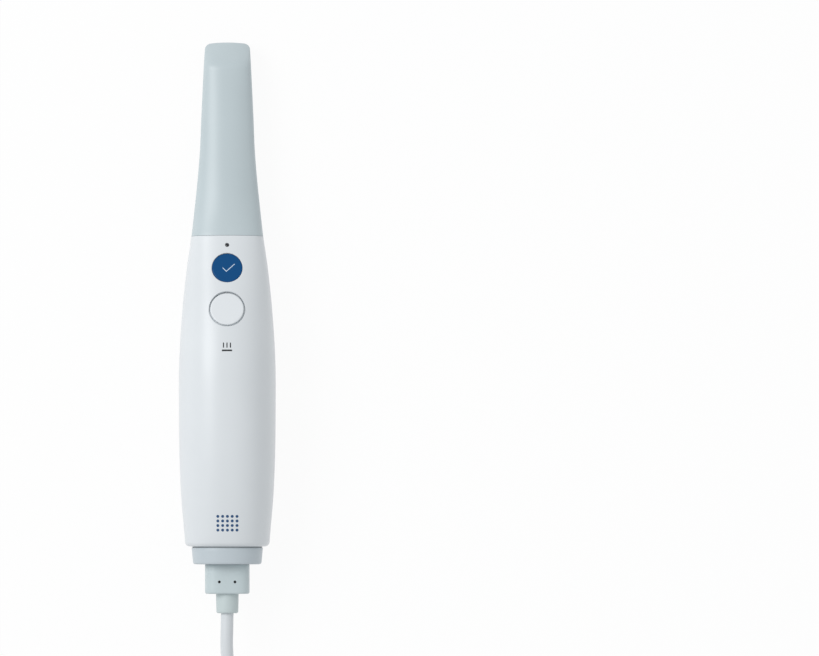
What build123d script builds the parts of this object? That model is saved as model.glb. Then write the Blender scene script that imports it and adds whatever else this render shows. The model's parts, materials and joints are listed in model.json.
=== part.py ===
from build123d import *
import math
import os

# Intraoral scanner: a hand-held dental scanner with a removable tip, two keys, and a plug-in lead.
# It lies on its belly on the floor z = 0, keys up. +Y runs from the lead to the tip, +X to its right.
# Distances along it are counted forwards from the rear face of the housing, in millimetres.
os.makedirs("parts", exist_ok=True)

# Lengths along the scanner
housing_length = 142.5
tip_length = 89.4
collar_length = 8.2
plug_length = 13.6
relief_length = 8.9

# Outer form: share of the length, half width, top, bottom, and power of the oval section
housing_form = [
    (0.000, 19.3, 37.5, 3.2, 2.3),
    (0.053, 19.9, 39.3, 2.2, 2.3),
    (0.150, 21.1, 41.6, 0.8, 2.3),
    (0.279, 21.95, 43.2, -0.3, 2.3),
    (0.441, 22.25, 43.7, -0.6, 2.3),
    (0.602, 22.1, 42.6, -0.5, 2.3),
    (0.768, 20.6, 37.5, 0.4, 2.3),
    (0.900, 18.6, 31.3, 2.2, 2.4),
]
tip_form = [
    (0.000, 16.55, 26.9, 3.8, 2.5),
    (0.138, 15.15, 24.0, 4.6, 2.6),
    (0.292, 13.72, 22.3, 5.0, 2.7),
    (0.446, 12.63, 21.3, 5.1, 2.8),
    (0.601, 12.06, 20.5, 5.1, 2.9),
    (0.755, 11.42, 19.7, 5.0, 3.0),
    (0.909, 10.72, 19.0, 5.0, 3.2),
    (1.000, 10.2, 18.6, 5.0, 3.3),
]
rear_level = 20.0
seam_level = 16.0
head_level = 12.5
outer_sides = 24
inner_sides = 12
round_sides = 12
round_steps = 3
cut_width = 80.0
cut_height = 90.0

# Housing shells
housing_wall = 2.0
rear_wall = 2.2
rear_round = 2.0
seam_tilt = 3.0
seam_gap = 0.3
front_lip = 1.3
front_lip_overlap = 0.4
lap_rear_margin = 2.0
lap_front_margin = 3.0
lip_height = 1.6
lip_clearance = 0.12
fit = 0.1
snap_share = (0.17, 0.43, 0.66)
snap_width = 6.0
snap_drop = 4.0
snap_thickness = 1.2
snap_clearance = 0.4
snap_root = 0.6
snap_root_gap = 0.6
snap_root_height = 3.0

# Keys and status light, all square to one sloping deck
scan_setback = 33.1
confirm_setback = 14.3
light_setback = 3.9
scan_diameter = 15.3
scan_gap = 0.7
confirm_diameter = 14.0
confirm_gap = 0.2
key_sink = 0.3
key_thickness = 3.6
key_edge = 0.4
key_travel = 0.8
key_rest_gap = 0.3
key_stop_gap = 0.4
guide_wall = 1.2
guide_depth = 4.4
flange_overlap = 0.9
flange_thickness = 1.0
pin_diameter = 3.0
pin_length = 1.7
pin_entry = 0.4
pin_clearance = 0.4
switch_size = 6.2
switch_height = 2.6
deck_board_thickness = 1.2
deck_board_width = 20.0
deck_board_margin = 6.0
light_diameter = 1.8
light_stand = 0.1
light_flange = 0.6
light_flange_gap = 1.2
light_flange_thickness = 0.8
light_chip_size = (2.2, 1.6, 0.7)

# Tip sleeve and its mirror
sleeve_wall = 2.0
sleeve_clearance = 0.5
head_slope = 45.0
head_slope_run = 9.7
head_corner = 3.2
head_crown_radius = 70.0
window_width = 14.6
window_length = 14.4
window_setback = 3.6
window_corner = 2.0
window_cut_height = 10.7
mirror_thickness = 1.2
mirror_clearance = 0.4

# Nose tube inside the tip
nose_reach = 58.0
nose_wall = 1.4
bulkhead_thickness = 1.8
nose_glass_thickness = 1.5
nose_glass_lap = 0.6
nose_root = 0.5
seal_width = 2.4
seal_reach = 9.0
seal_gap = 0.3
seal_seat = 0.4
seal_groove = 0.45
tongue_length = 13.0
tongue_thickness = 1.2
tongue_half_width = 11.4
tongue_screw_offset = 6.0
tongue_screw_setback = 4.5

# Optics inside the housing
optic_level = 14.9
chassis_plate_level = 7.4
chassis_plate = 1.6
chassis_half_width = 13.0
chassis_neck_half_width = 8.5
chassis_rear = 66.0
chassis_post_offset = 10.0
chassis_hole_depth = 3.5
chassis_screw_length = 3.6
nose_screw_length = 2.6
neck_lap = 1.0
neck_flare = 2.0
lens_wall = 2.6
rear_lens_wall = 111.0
front_lens_wall = 122.0
lens_wall_height = 11.0
projector_lens_diameter = 9.0
camera_lens_diameter = 6.5
camera_spacing = 17.6
lens_front = 128.0
projector_lens_length = 22.0
camera_lens_length = 19.8
lens_flange = 0.3
lens_flange_thickness = 0.9
lens_rim = 0.8
camera_board_shift = 0.4
camera_board_lift = 0.3
sensor_size = 5.0
sensor_thickness = 0.8
camera_board_size = 9.0
camera_board_thickness = 1.2
engine_length = 19.0
engine_width = 16.0
engine_height = 11.6
engine_edge = 1.0
engine_snout = 2.5
engine_snout_rim = 0.5
sink_plate = 2.0
fin_count = 5
fin_thickness = 1.2
fin_length = 12.0

# Electronics in the grip
board_level = 12.0
board_thickness = 1.6
board_width = 31.5
board_start = 4.4
board_end = 62.0
board_neck = 8.0
board_post_offset = 12.5
board_post_start = 16.0
board_hole_depth = 5.5
board_screw_length = 5.5
post_setback = 5.0
chip_size = 14.0
chip_height = 1.8
chip_offset = 6.0
memory_size = (8.0, 11.0, 1.1)
memory_offset = 12.0
power_chip_size = (6.0, 6.0, 1.2)
power_chip_offset = -5.0
power_chip_setback = 15.0
lead_connector_size = (10.0, 4.0, 2.4)
lead_connector_setback = 3.0
cooler_height = 9.0
cooler_plate = 1.6
screw_diameter = 2.0
screw_head = 3.8
screw_head_height = 1.2
screw_play = 0.4
screw_sink = 0.4
boss_diameter = 5.0
cap_boss_diameter = 4.2
cap_boss_length = 6.5
cap_boss_floor = 1.0
cap_screw_reach = 5.0

# Rear collar, socket and plug
cable_level = 20.3
collar_front_half = 16.4
collar_rear_half = 15.7
collar_height_share = 0.92
collar_power = 2.6
gasket_setback = 0.5
collar_edge = 1.0
gasket_thickness = 0.6
spigot_width = 23.4
spigot_height = 17.4
spigot_depth = 1.4
spigot_corner = 3.0
socket_width = 19.6
socket_height = 13.4
socket_front = 6.4
socket_corner = 1.5
insert_width = 16.0
insert_height = 10.5
insert_length = 7.4
insert_corner = 2.2
insert_edge = 0.5
insert_clearance = 0.3
cap_rear_wall = 2.0
cap_screw_offset = 10.9
contact_columns = 4
contact_pitch = 3.2
contact_row_gap = 4.0
contact_size = 0.8
contact_play = 0.2
contact_reach = 1.5
contact_stagger = 2.5
plug_width = 20.5
plug_height = 15.0
plug_corner = 4.0
plug_edge = 0.8
plug_gap = 0.3
relief_seat = 5.0
relief_neck = 8.4
insert_seat = 4.0
grub_spacing = 7.2
grub_setback = 8.1
grub_diameter = 1.3
grub_depth = 3.0
grub_play = 0.1
grub_sink = 0.4
grub_socket = 0.6
grub_socket_depth = 0.8

# Cord, hank and the plug at its far end
cord_diameter = 5.8
cord_sides = 8
relief_front_diameter = 10.4
relief_rear_diameter = 10.1
relief_edge = 0.7
relief_bore = 4.0
cord_play = 0.3
hank_columns = 2
hank_layers = 3
hank_inner_radius = 17.5
hank_pitch = 5.9
hank_straight = 90.0
hank_front = -223.3
hank_side = -6.0
tie_thickness = 0.8
tie_width = 12.0
usb_side = -22.0
usb_grip_start = -252.0
tie_setback = 30.0
usb_bore = 4.0
usb_grip_size = (15.0, 38.0, 8.0)
usb_shell_size = (12.0, 12.0, 4.5)
usb_shell_wall = 0.5
usb_corner = 2.0
usb_edge = 1.2
usb_shell_seat = 3.0
usb_tongue_thickness = 1.8
usb_tongue_lift = 0.75

rear_face = -(housing_length + tip_length - collar_length - plug_length - relief_length) / 2
seam = rear_face + housing_length
head_end = seam + tip_length


def along(distance):
    """Y of a place that lies this far forward of the housing's rear face."""
    return rear_face + distance


# The stations of the outer form, each (distance, half width, top, bottom, power, widest level)
stations = [
    (share * housing_length, half, top, bottom, power,
     rear_level + (seam_level - rear_level) * share)
    for share, half, top, bottom, power in housing_form
] + [
    (housing_length + share * tip_length, half, top, bottom, power,
     seam_level + (head_level - seam_level) * share)
    for share, half, top, bottom, power in tip_form
]


def form_at(distance, column):
    """One column of the stations at any distance, by a cubic through them."""
    index = max(i for i, station in enumerate(stations[:-1]) if station[0] <= max(distance, 0))
    before, after = stations[index], stations[index + 1]
    length = after[0] - before[0]
    share = (distance - before[0]) / length
    slopes = []
    for i in (index, index + 1):
        low = stations[max(i - 1, 0)]
        high = stations[min(i + 1, len(stations) - 1)]
        slopes.append((high[column] - low[column]) / (high[0] - low[0]) * length)
    blend = 3 * share**2 - 2 * share**3
    lean = slopes[0] * (share**3 - 2 * share**2 + share) + slopes[1] * (share**3 - share**2)
    return before[column] * (1 - blend) + after[column] * blend + lean


def half_width_at(distance):
    return form_at(distance, 1)


def top_at(distance):
    return form_at(distance, 2)


def bottom_at(distance):
    return form_at(distance, 3)


def waist_at(distance):
    """Height of the line that parts the two housing shells."""
    return rear_level + (seam_level - rear_level) * distance / housing_length


def oval(y, half_width, top, bottom, level, power, sides):
    """Many-sided oval in a plane across the scanner; its flats touch the superellipse of these sizes."""
    grow = 1 / math.cos(math.pi / sides) ** (2 / power)
    points = []
    for step in range(sides):
        angle = 2 * math.pi * (step + 0.5) / sides - math.pi / 2
        across, up = math.cos(angle), math.sin(angle)
        reach = (top - level if up > 0 else level - bottom) * grow
        x = half_width * grow * math.copysign(abs(across) ** (2 / power), across)
        z = level + reach * math.copysign(abs(up) ** (2 / power), up)
        points.append((x, y, z))
    return Wire(Polyline(*points, close=True))


def section(distance, inset, sides):
    """Section of the form at this distance, drawn in all round by the inset."""
    half, top, bottom, power, level = (form_at(distance, column) for column in range(1, 6))
    return oval(along(distance), half - inset, top - inset, bottom + inset, level, power, sides)


def skin(inset):
    """Solid inside the outer form, drawn in from it all round by this inset."""
    return Solid.make_loft([section(station[0], inset, inner_sides) for station in stations])


def rounded_end(end, radius, facing):
    """Last stretch of the outer form before a rounded end that faces forwards (1) or to the rear (-1)."""
    sections = []
    for step in range(round_steps + 1):
        angle = math.pi / 2 * step / round_steps
        distance = end - facing * radius * (1 - math.sin(angle))
        sections.append(section(distance, radius * (1 - math.cos(angle)), outer_sides))
    return Solid.make_loft(sections, ruled=True)


def outer_form(rear_radius, head_radius):
    """The whole outer form, with rounded ends."""
    end = housing_length + tip_length
    places = [rear_radius] + [station[0] for station in stations[1:-1]] + [end - head_radius]
    middle = Solid.make_loft([section(place, 0, outer_sides) for place in places])
    return middle + rounded_end(0, rear_radius, -1) + rounded_end(end, head_radius, 1)


def slab(start, end):
    """Space across the scanner between two distances."""
    return Pos(0, along((start + end) / 2), 20) * Box(cut_width, end - start, cut_height)


def block(x_size, start, end, low, high, x=0.0):
    """Rectangular block given by its width, its distances and its levels."""
    centre = (x, along((start + end) / 2), (low + high) / 2)
    return Pos(*centre) * Box(x_size, end - start, high - low)


def round_bar(plane, diameter, length, sides=round_sides):
    """Round bar that stands on a plane, drawn with flats that touch the circle of its diameter."""
    return extrude(plane * RegularPolygon(diameter / 2, sides, major_radius=False), length)


def rod(diameter, start, end, x, level):
    """Round bar along the scanner between two distances."""
    plane = Plane(origin=(x, along(start), level), x_dir=(1, 0, 0), z_dir=(0, 1, 0))
    return round_bar(plane, diameter, end - start)


def post(diameter, distance, x, low, high):
    """Upright round bar."""
    return round_bar(Plane(origin=(x, along(distance), low)), diameter, high - low)


def rounded_bar(width, height, corner, start, end, level):
    """Bar of rounded rectangular section along the scanner."""
    plane = Plane(origin=(0, along(start), level), x_dir=(1, 0, 0), z_dir=(0, 1, 0))
    return extrude(plane * RectangleRounded(width, height, corner), end - start)


def above(shape, plane):
    return split(shape, bisect_by=plane, keep=Keep.TOP)


def below(shape, plane):
    return split(shape, bisect_by=plane, keep=Keep.BOTTOM)


def pan_screw(length):
    """Small screw whose head stands on z = 0, shank downwards."""
    return round_bar(Plane.XY, screw_head, screw_head_height) + round_bar(Plane.XY, screw_diameter, -length)


# Planes that part the form: the tilted seam before the tip, and the line round the housing's waist
tilt = math.radians(seam_tilt)
pull = Vector(0, math.cos(tilt), -math.sin(tilt))
waist_slope = math.atan2(rear_level - seam_level, housing_length)
waist = Plane(origin=(0, rear_face, rear_level), x_dir=(1, 0, 0),
              z_dir=(0, math.sin(waist_slope), math.cos(waist_slope)))
ground = Plane(origin=(0, 0, 0), z_dir=(0, 0, 1))


def seam_plane(offset):
    """Plane parallel to the seam, this far in front of it."""
    return Plane(origin=Vector(0, seam, seam_level) + pull * offset, x_dir=(1, 0, 0), z_dir=pull)


# The deck: one plane through the middles of both keys, square to their travel
scan_place = housing_length - scan_setback
confirm_place = housing_length - confirm_setback
light_place = housing_length - light_setback
deck_slope = math.atan2(top_at(scan_place) - top_at(confirm_place), confirm_place - scan_place)
deck = Plane(origin=(0, along(scan_place), top_at(scan_place)), x_dir=(1, 0, 0),
             z_dir=(0, math.sin(deck_slope), math.cos(deck_slope)))
confirm_run = (confirm_place - scan_place) / math.cos(deck_slope)
light_run = (light_place - scan_place) / math.cos(deck_slope)


def on_deck(run, depth):
    """Place on the deck: this far forward of the scan key and this far below the deck."""
    return deck * Pos(0, run, -depth)


def deck_disc(diameter, run, depth, thickness):
    """Disc square to the deck whose upper face lies at this depth."""
    return on_deck(run, depth + thickness / 2) * Cylinder(diameter / 2, thickness)


def deck_bar(diameter, run, depth, thickness, sides=outer_sides):
    """Hidden round piece square to the deck, drawn with many flats."""
    return on_deck(run, depth + thickness) * round_bar(Plane.XY, diameter, thickness, sides)


outer = outer_form(rear_round, head_corner)
inner = skin(housing_wall)


# Keys: flat caps with a plunger behind each, and the switch that the plunger's pin enters
def key_cap(diameter, run):
    cap = deck_disc(diameter, run, key_sink, key_thickness)
    top_edge = cap.faces().sort_by(Axis(deck.origin, deck.z_dir))[-1].edges()
    return chamfer(top_edge, key_edge)


flange_top = guide_depth + key_rest_gap
pin_start = flange_top + flange_thickness
pin_end = pin_start + pin_length
switch_top = pin_end - pin_entry
switch_recess = pin_entry + key_travel + key_stop_gap
board_top = switch_top + switch_height


def key_plunger(diameter, bore, run):
    neck_top = key_sink + key_thickness
    neck = deck_bar(diameter - 2 * flange_overlap, run, neck_top, flange_top - neck_top)
    flange = deck_bar(bore + 2 * flange_overlap, run, flange_top, flange_thickness)
    pin = deck_bar(pin_diameter, run, pin_start, pin_length, round_sides)
    return neck + flange + pin


def tact_switch(run):
    body = on_deck(run, switch_top + switch_height / 2) * Box(switch_size, switch_size, switch_height)
    recess = deck_bar(pin_diameter + 2 * pin_clearance, run, switch_top, switch_recess, round_sides)
    return body - recess


scan_bore = scan_diameter + 2 * scan_gap
confirm_bore = confirm_diameter + 2 * confirm_gap
scan_button = key_cap(scan_diameter, 0)
confirm_button = key_cap(confirm_diameter, confirm_run)
scan_plunger = key_plunger(scan_diameter, scan_bore, 0)
confirm_plunger = key_plunger(confirm_diameter, confirm_bore, confirm_run)
scan_switch = tact_switch(0)
confirm_switch = tact_switch(confirm_run)

board_front = light_run + light_diameter
board_rear = -switch_size / 2 - deck_board_margin
button_board = on_deck((board_front + board_rear) / 2, board_top + deck_board_thickness / 2) * Box(
    deck_board_width, board_front - board_rear, deck_board_thickness)
light_chip_height = light_chip_size[2]
light_chip = on_deck(light_run, board_top - light_chip_height / 2) * Box(*light_chip_size)
status_light_pipe = deck_disc(light_diameter, light_run, -light_stand, board_top + light_stand - light_chip_height - fit)
status_light_pipe += deck_bar(light_diameter + 2 * light_flange, light_run, housing_wall + light_flange_gap,
                              light_flange_thickness, round_sides)

# Housing: the form from its rear face to the seam, hollowed, with a front lip and a rear opening
shell = above(below(outer, seam_plane(-seam_gap / 2)), ground)
hollow = below(inner, seam_plane(-front_lip)) & slab(rear_wall, housing_length + 10)
hollow = above(hollow, ground.offset(housing_wall))
shell = shell - hollow
front_opening = above(skin(housing_wall + front_lip_overlap), seam_plane(-front_lip - 1))
shell -= front_opening & slab(housing_length / 2, housing_length + 10)
shell -= rounded_bar(spigot_width + 2 * fit, spigot_height + 2 * fit, spigot_corner, -1, rear_wall + 1, cable_level)

# Lap joint round the waist: the lower shell's tongue stands inside the upper shell's rebate
lap_top = waist.offset(lip_height)
tongue_ring = below(above(skin(housing_wall / 2 + lip_clearance) - inner, waist), lap_top)
half_skin = skin(housing_wall / 2)
rebate_ring = below(above(half_skin - inner, waist.offset(-0.01)), waist.offset(lip_height + lip_clearance))
lap_span = slab(rear_wall + lap_rear_margin, housing_length - front_lip - lap_front_margin)
upper_housing = above(shell, waist) - (rebate_ring & lap_span)
lower_housing = below(shell, waist) + (tongue_ring & lap_span)

# Snap tongues hang from the upper shell behind the lower shell's wall, on both sides
snaps = []
for share in snap_share:
    place = share * housing_length
    low, high = place - snap_width / 2, place + snap_width / 2
    wall_face = min(half_width_at(low), half_width_at(high)) - housing_wall
    level = waist_at(place)
    root_top = level + lip_height + snap_root_height
    for side in (-1, 1):
        blade_x = side * (wall_face - snap_clearance - snap_thickness / 2)
        root_x = side * (wall_face - (snap_clearance + snap_thickness - snap_root) / 2)
        snaps.append(block(snap_thickness, low, high, level - snap_drop, root_top, blade_x))
        snaps.append(block(snap_clearance + snap_thickness + snap_root, low, high,
                           level + lip_height + snap_root_gap, root_top, root_x))
upper_housing += snaps

# Guides for the keys and the status light, in the upper shell
for bore, run in ((scan_bore, 0), (confirm_bore, confirm_run)):
    guide = deck_bar(bore + 2 * guide_wall, run, housing_wall / 2, guide_depth - housing_wall / 2)
    upper_housing += guide & outer
for bore, run in ((scan_bore, 0), (confirm_bore, confirm_run)):
    upper_housing -= on_deck(run, 0) * Cylinder(bore / 2, 3 * guide_depth)
upper_housing -= on_deck(light_run, 0) * Cylinder(light_diameter / 2 + fit, 2 * guide_depth)

# Bosses for the board, the chassis and the rear collar's screws
chassis_front = (housing_length - front_lip - bulkhead_thickness - 2 * fit
                 - (seam_level - chassis_plate_level) * math.tan(tilt))
chassis_posts = [(side * chassis_post_offset, place) for side in (-1, 1)
                 for place in (chassis_rear + post_setback, front_lens_wall - post_setback)]
board_posts = [(side * board_post_offset, place) for side in (-1, 1)
               for place in (board_start + board_post_start, board_end - post_setback)]
boss_seats = [(x, place, chassis_plate_level, chassis_hole_depth) for x, place in chassis_posts]
boss_seats += [(x, place, board_level, board_hole_depth) for x, place in board_posts]
bosses = Part() + [post(boss_diameter, place, x, -1, top) for x, place, top, depth in boss_seats]
lower_housing += bosses & half_skin
lower_housing -= [post(screw_diameter, place, x, top - depth, top + 1) for x, place, top, depth in boss_seats]
cap_screw_length = collar_length - cap_rear_wall + cap_screw_reach
cap_boss_end = rear_wall + cap_boss_length
upper_housing += rod(cap_boss_diameter, rear_wall / 2, cap_boss_end, 0, cable_level + cap_screw_offset)
lower_housing += rod(cap_boss_diameter, rear_wall / 2, cap_boss_end, 0, cable_level - cap_screw_offset)
upper_housing -= rod(screw_diameter, -1, cap_boss_end - cap_boss_floor, 0, cable_level + cap_screw_offset)
lower_housing -= rod(screw_diameter, -1, cap_boss_end - cap_boss_floor, 0, cable_level - cap_screw_offset)

# Tip sleeve: the form in front of the seam, with a sloping back at the head, hollow, and a window below
slope = math.radians(head_slope)
back = Vector(0, math.sin(slope), math.cos(slope))
slope_top = Vector(0, head_end - head_slope_run, stations[-1][2] + 0.2)


def back_plane(depth):
    """Plane of the head's sloping back, this far inside it."""
    return Plane(origin=slope_top - back * depth, x_dir=(1, 0, 0), z_dir=back)


crown = Pos(0, head_end - head_crown_radius, 10) * Cylinder(head_crown_radius, 60)
sleeve = above(outer, seam_plane(seam_gap / 2)) & crown
sleeve = below(sleeve, back_plane(0))
sleeve_inner = skin(sleeve_wall)
sleeve_hollow = below(sleeve_inner, back_plane(sleeve_wall)) & (
    Pos(0, -sleeve_wall, 0) * crown)
sleeve -= sleeve_hollow
window_front = head_end - window_setback
window_middle = window_front - window_length / 2
window_cut = extrude(Plane.XY * Pos(0, window_middle) * RectangleRounded(
    window_width, window_length, window_corner), window_cut_height)
tip_sleeve = sleeve - window_cut
mirror_inset = sleeve_wall + mirror_clearance
mirror_blank = skin(mirror_inset) & (Pos(0, -mirror_inset, 0) * crown)
tip_mirror = above(below(mirror_blank, back_plane(sleeve_wall + fit / 2)),
                   back_plane(sleeve_wall + fit / 2 + mirror_thickness))

# Nose: a bulkhead held behind the housing's front lip, and a tube that the sleeve slides over
nose_inset = sleeve_wall + sleeve_clearance
nose_end = housing_length + nose_reach
nose_skin = skin(nose_inset)
nose_bore = skin(nose_inset + nose_wall)
bulkhead = above(below(skin(housing_wall + fit), seam_plane(-front_lip - fit)),
                 seam_plane(-front_lip - fit - bulkhead_thickness))
tube = above(nose_skin, seam_plane(-front_lip - fit - nose_root)) & slab(housing_length - 5, nose_end)
nose_tube = bulkhead + tube - nose_bore
glass_start = nose_end - nose_glass_thickness
glass_inset = nose_inset + nose_wall - nose_glass_lap
nose_tube -= skin(glass_inset) & slab(glass_start, nose_end + 1)
nose_window = skin(glass_inset + fit) & slab(glass_start + fit / 2, nose_end - fit)
seal_place = housing_length + seal_reach
seal_band = slab(seal_place, seal_place + seal_width)
nose_seal = (skin(sleeve_wall + seal_gap) - skin(nose_inset + seal_seat)) & seal_band
groove_band = slab(seal_place - fit, seal_place + seal_width + fit)
nose_tube -= (nose_skin - skin(nose_inset + seal_groove)) & groove_band
plate_top = chassis_plate_level + chassis_plate
tongue_start = chassis_front - tongue_length
tongue_top = plate_top + tongue_thickness
tongue = block(2 * tongue_half_width, tongue_start, chassis_front + 1, plate_top, tongue_top)
tongue_screws = [(side * tongue_screw_offset, chassis_front - tongue_screw_setback) for side in (-1, 1)]
nose_tube += tongue
nose_tube -= [post(screw_diameter, place, x, plate_top - 1, tongue_top + 1) for x, place in tongue_screws]

# Optics: a chassis with two lens walls, a pattern projector between two cameras, and its light engine
plate = (chassis_plate_level, plate_top)
wall_top = plate_top + lens_wall_height
neck_start = front_lens_wall - neck_lap
chassis = block(2 * chassis_half_width, chassis_rear, front_lens_wall + neck_lap, *plate)
chassis += block(2 * chassis_neck_half_width, neck_start, chassis_front, *plate)
chassis += block(2 * (chassis_neck_half_width + neck_flare), neck_start, front_lens_wall + lens_wall, *plate)
for start in (rear_lens_wall, front_lens_wall):
    chassis += block(2 * chassis_half_width, start, start + lens_wall, plate_top, wall_top)
barrels = [(0.0, projector_lens_diameter), (-camera_spacing / 2, camera_lens_diameter),
           (camera_spacing / 2, camera_lens_diameter)]
chassis -= [rod(diameter + 2 * fit, rear_lens_wall - 1, front_lens_wall + lens_wall + 1, x, optic_level)
            for x, diameter in barrels]
chassis -= [post(screw_diameter + screw_play, place, x, 0, plate_top + 1) for x, place in chassis_posts]
chassis -= [post(screw_diameter, place, x, 0, plate_top + 1) for x, place in tongue_screws]


def lens(diameter, length, x):
    """Stepped barrel with its front glass set back inside a rim."""
    start = lens_front - length
    flange_rear = front_lens_wall + lens_wall + fit
    barrel = rod(diameter, start, lens_front, x, optic_level)
    barrel += rod(diameter + 2 * lens_flange, flange_rear, flange_rear + lens_flange_thickness, x,
                  optic_level)
    return barrel - rod(diameter - 2 * lens_rim, lens_front - lens_rim, lens_front + 1, x, optic_level)


projector_lens = lens(projector_lens_diameter, projector_lens_length, 0)
left_camera_lens = lens(camera_lens_diameter, camera_lens_length, -camera_spacing / 2)
right_camera_lens = lens(camera_lens_diameter, camera_lens_length, camera_spacing / 2)
camera_rear = lens_front - camera_lens_length


def camera_board(x):
    """Board behind a camera lens, with its image sensor on the rear."""
    middle = x + math.copysign(camera_board_shift, x)
    board_rear_face = camera_rear - camera_board_thickness
    board = block(camera_board_size, board_rear_face, camera_rear, plate_top + camera_board_lift, wall_top, middle)
    sensor = block(sensor_size, board_rear_face - sensor_thickness, board_rear_face,
                   optic_level - sensor_size / 2, optic_level + sensor_size / 2, x)
    return board + sensor


left_camera_board = camera_board(-camera_spacing / 2)
right_camera_board = camera_board(camera_spacing / 2)
engine_front = lens_front - projector_lens_length
engine_start = engine_front - engine_length
engine_top = plate_top + engine_height
engine_face = engine_front - engine_snout
projector_engine = block(engine_width, engine_start, engine_face, plate_top, engine_top)
projector_engine += rod(projector_lens_diameter + 2 * engine_snout_rim, engine_face - 0.5, engine_front, 0, optic_level)
projector_engine = chamfer(projector_engine.edges().filter_by(Axis.Y).group_by(Axis.Z)[-1], engine_edge)
sink_start = engine_start - fin_length
projector_heat_sink = block(engine_width, sink_start, engine_start, plate_top, plate_top + sink_plate)
projector_heat_sink += block(engine_width, engine_start - sink_plate, engine_start, plate_top, engine_top)
fin_step = (engine_width - fin_thickness) / (fin_count - 1)
for index in range(fin_count):
    x = -engine_width / 2 + fin_thickness / 2 + index * fin_step
    projector_heat_sink += block(fin_thickness, sink_start, engine_start, plate_top, engine_top, x)

# Electronics in the grip: the main board with its chips and a cooler
board_face = board_level + board_thickness
main_board = block(board_width, board_start + board_neck, board_end, board_level, board_face)
main_board += block(socket_width, board_start, board_start + board_neck + 1, board_level, board_face)
main_board -= [post(screw_diameter + screw_play, place, x, board_level - 1, board_face + 1)
               for x, place in board_posts]
chip_middle = (board_start + board_end) / 2 + chip_offset
chip_low, chip_high = chip_middle - chip_size / 2, chip_middle + chip_size / 2


def package(size, middle, x=0.0):
    """Packaged part that lies on the main board, given its width, length and height."""
    return block(size[0], middle - size[1] / 2, middle + size[1] / 2, board_face, board_face + size[2], x)


board_chips = package((chip_size, chip_size, chip_height), chip_middle)
board_chips += package(memory_size, chip_middle, -memory_offset)
board_chips += package(memory_size, chip_middle, memory_offset)
board_chips += package(power_chip_size, board_start + power_chip_setback, power_chip_offset)
board_chips += package(lead_connector_size, board_end - lead_connector_setback)
cooler_low = board_face + chip_height
chip_cooler = block(chip_size, chip_low, chip_high, cooler_low, cooler_low + cooler_plate)
cooler_step = (chip_size - fin_thickness) / (fin_count - 1)
for index in range(fin_count):
    x = -chip_size / 2 + fin_thickness / 2 + index * cooler_step
    chip_cooler += block(fin_thickness, chip_low, chip_high, cooler_low, cooler_low + cooler_height, x)


def screws(places, top, length):
    """Group of upright screws with their heads on one level."""
    return Compound(children=[Pos(x, along(place), top) * pan_screw(length) for x, place in places])


board_screws = screws(board_posts, board_face, board_screw_length)
chassis_screws = screws(chassis_posts, plate_top, chassis_screw_length)
nose_screws = screws(tongue_screws, tongue_top, nose_screw_length)

# Rear collar with its gasket, the socket behind it and the contacts
collar_start = -collar_length


def collar_oval(distance, half_width):
    """Oval across the collar; its height is a share of its width."""
    height = half_width * collar_height_share
    return oval(along(distance), half_width, cable_level + height, cable_level - height, cable_level,
                collar_power, outer_sides)


rear_cap = Solid.make_loft([collar_oval(-gasket_thickness, collar_front_half),
                            collar_oval(collar_start, collar_rear_half)])
rear_cap = chamfer(rear_cap.edges().group_by(Axis.Y)[0], collar_edge / 2)
spigot_end = rear_wall + spigot_depth
rear_cap += rounded_bar(spigot_width, spigot_height, spigot_corner, -gasket_thickness - 0.5, spigot_end, cable_level)
pocket_start = collar_start + cap_rear_wall
rear_cap -= rounded_bar(socket_width + 2 * fit, socket_height + 2 * fit, socket_corner, pocket_start,
                        spigot_end + 1, cable_level)
insert_hole = (insert_width + 2 * insert_clearance, insert_height + 2 * insert_clearance,
               insert_corner + insert_clearance)
rear_cap -= rounded_bar(*insert_hole, collar_start - 1, pocket_start + 1, cable_level)
cap_screw_seat = collar_start + screw_head_height + screw_sink
cap_screw_levels = (cable_level - cap_screw_offset, cable_level + cap_screw_offset)
for level in cap_screw_levels:
    rear_cap -= rod(screw_diameter + screw_play, collar_start - 1, 1, 0, level)
    rear_cap -= rod(screw_head + screw_play, collar_start - 1, cap_screw_seat, 0, level)
gasket_half = collar_front_half - gasket_setback
rear_gasket = Solid.make_loft([collar_oval(0, gasket_half), collar_oval(-gasket_thickness, gasket_half)])
rear_gasket -= rounded_bar(spigot_width + 2 * fit, spigot_height + 2 * fit, spigot_corner, -2, 1, cable_level)
for level in cap_screw_levels:
    rear_gasket -= rod(screw_diameter + screw_play, -2, 1, 0, level)
cap_screws = Compound(children=[
    Pos(0, along(cap_screw_seat), level) * Rot(90, 0, 0) * pan_screw(cap_screw_length)
    for level in cap_screw_levels])

socket_start = pocket_start + fit
plug_start = collar_start - plug_gap
insert_end = plug_start + insert_length
rear_socket = rounded_bar(socket_width, socket_height, socket_corner, socket_start, socket_front, cable_level)
rear_socket -= rounded_bar(*insert_hole, socket_start - 1, insert_end + 0.5, cable_level)
contact_levels = (cable_level - contact_row_gap / 2, cable_level + contact_row_gap / 2)
contact_places = [(column - (contact_columns - 1) / 2) * contact_pitch for column in range(contact_columns)]
contacts = []
for row, level in enumerate(contact_levels):
    foot = socket_front + contact_reach + row * contact_stagger
    for x in contact_places:
        half = contact_size / 2
        pin = block(contact_size, socket_start + contact_reach, foot + half, level - half, level + half, x)
        contacts.append(pin + block(contact_size, foot - half, foot + half, board_face, level, x))
socket_pins = Compound(children=contacts)
rear_socket -= contacts

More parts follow.
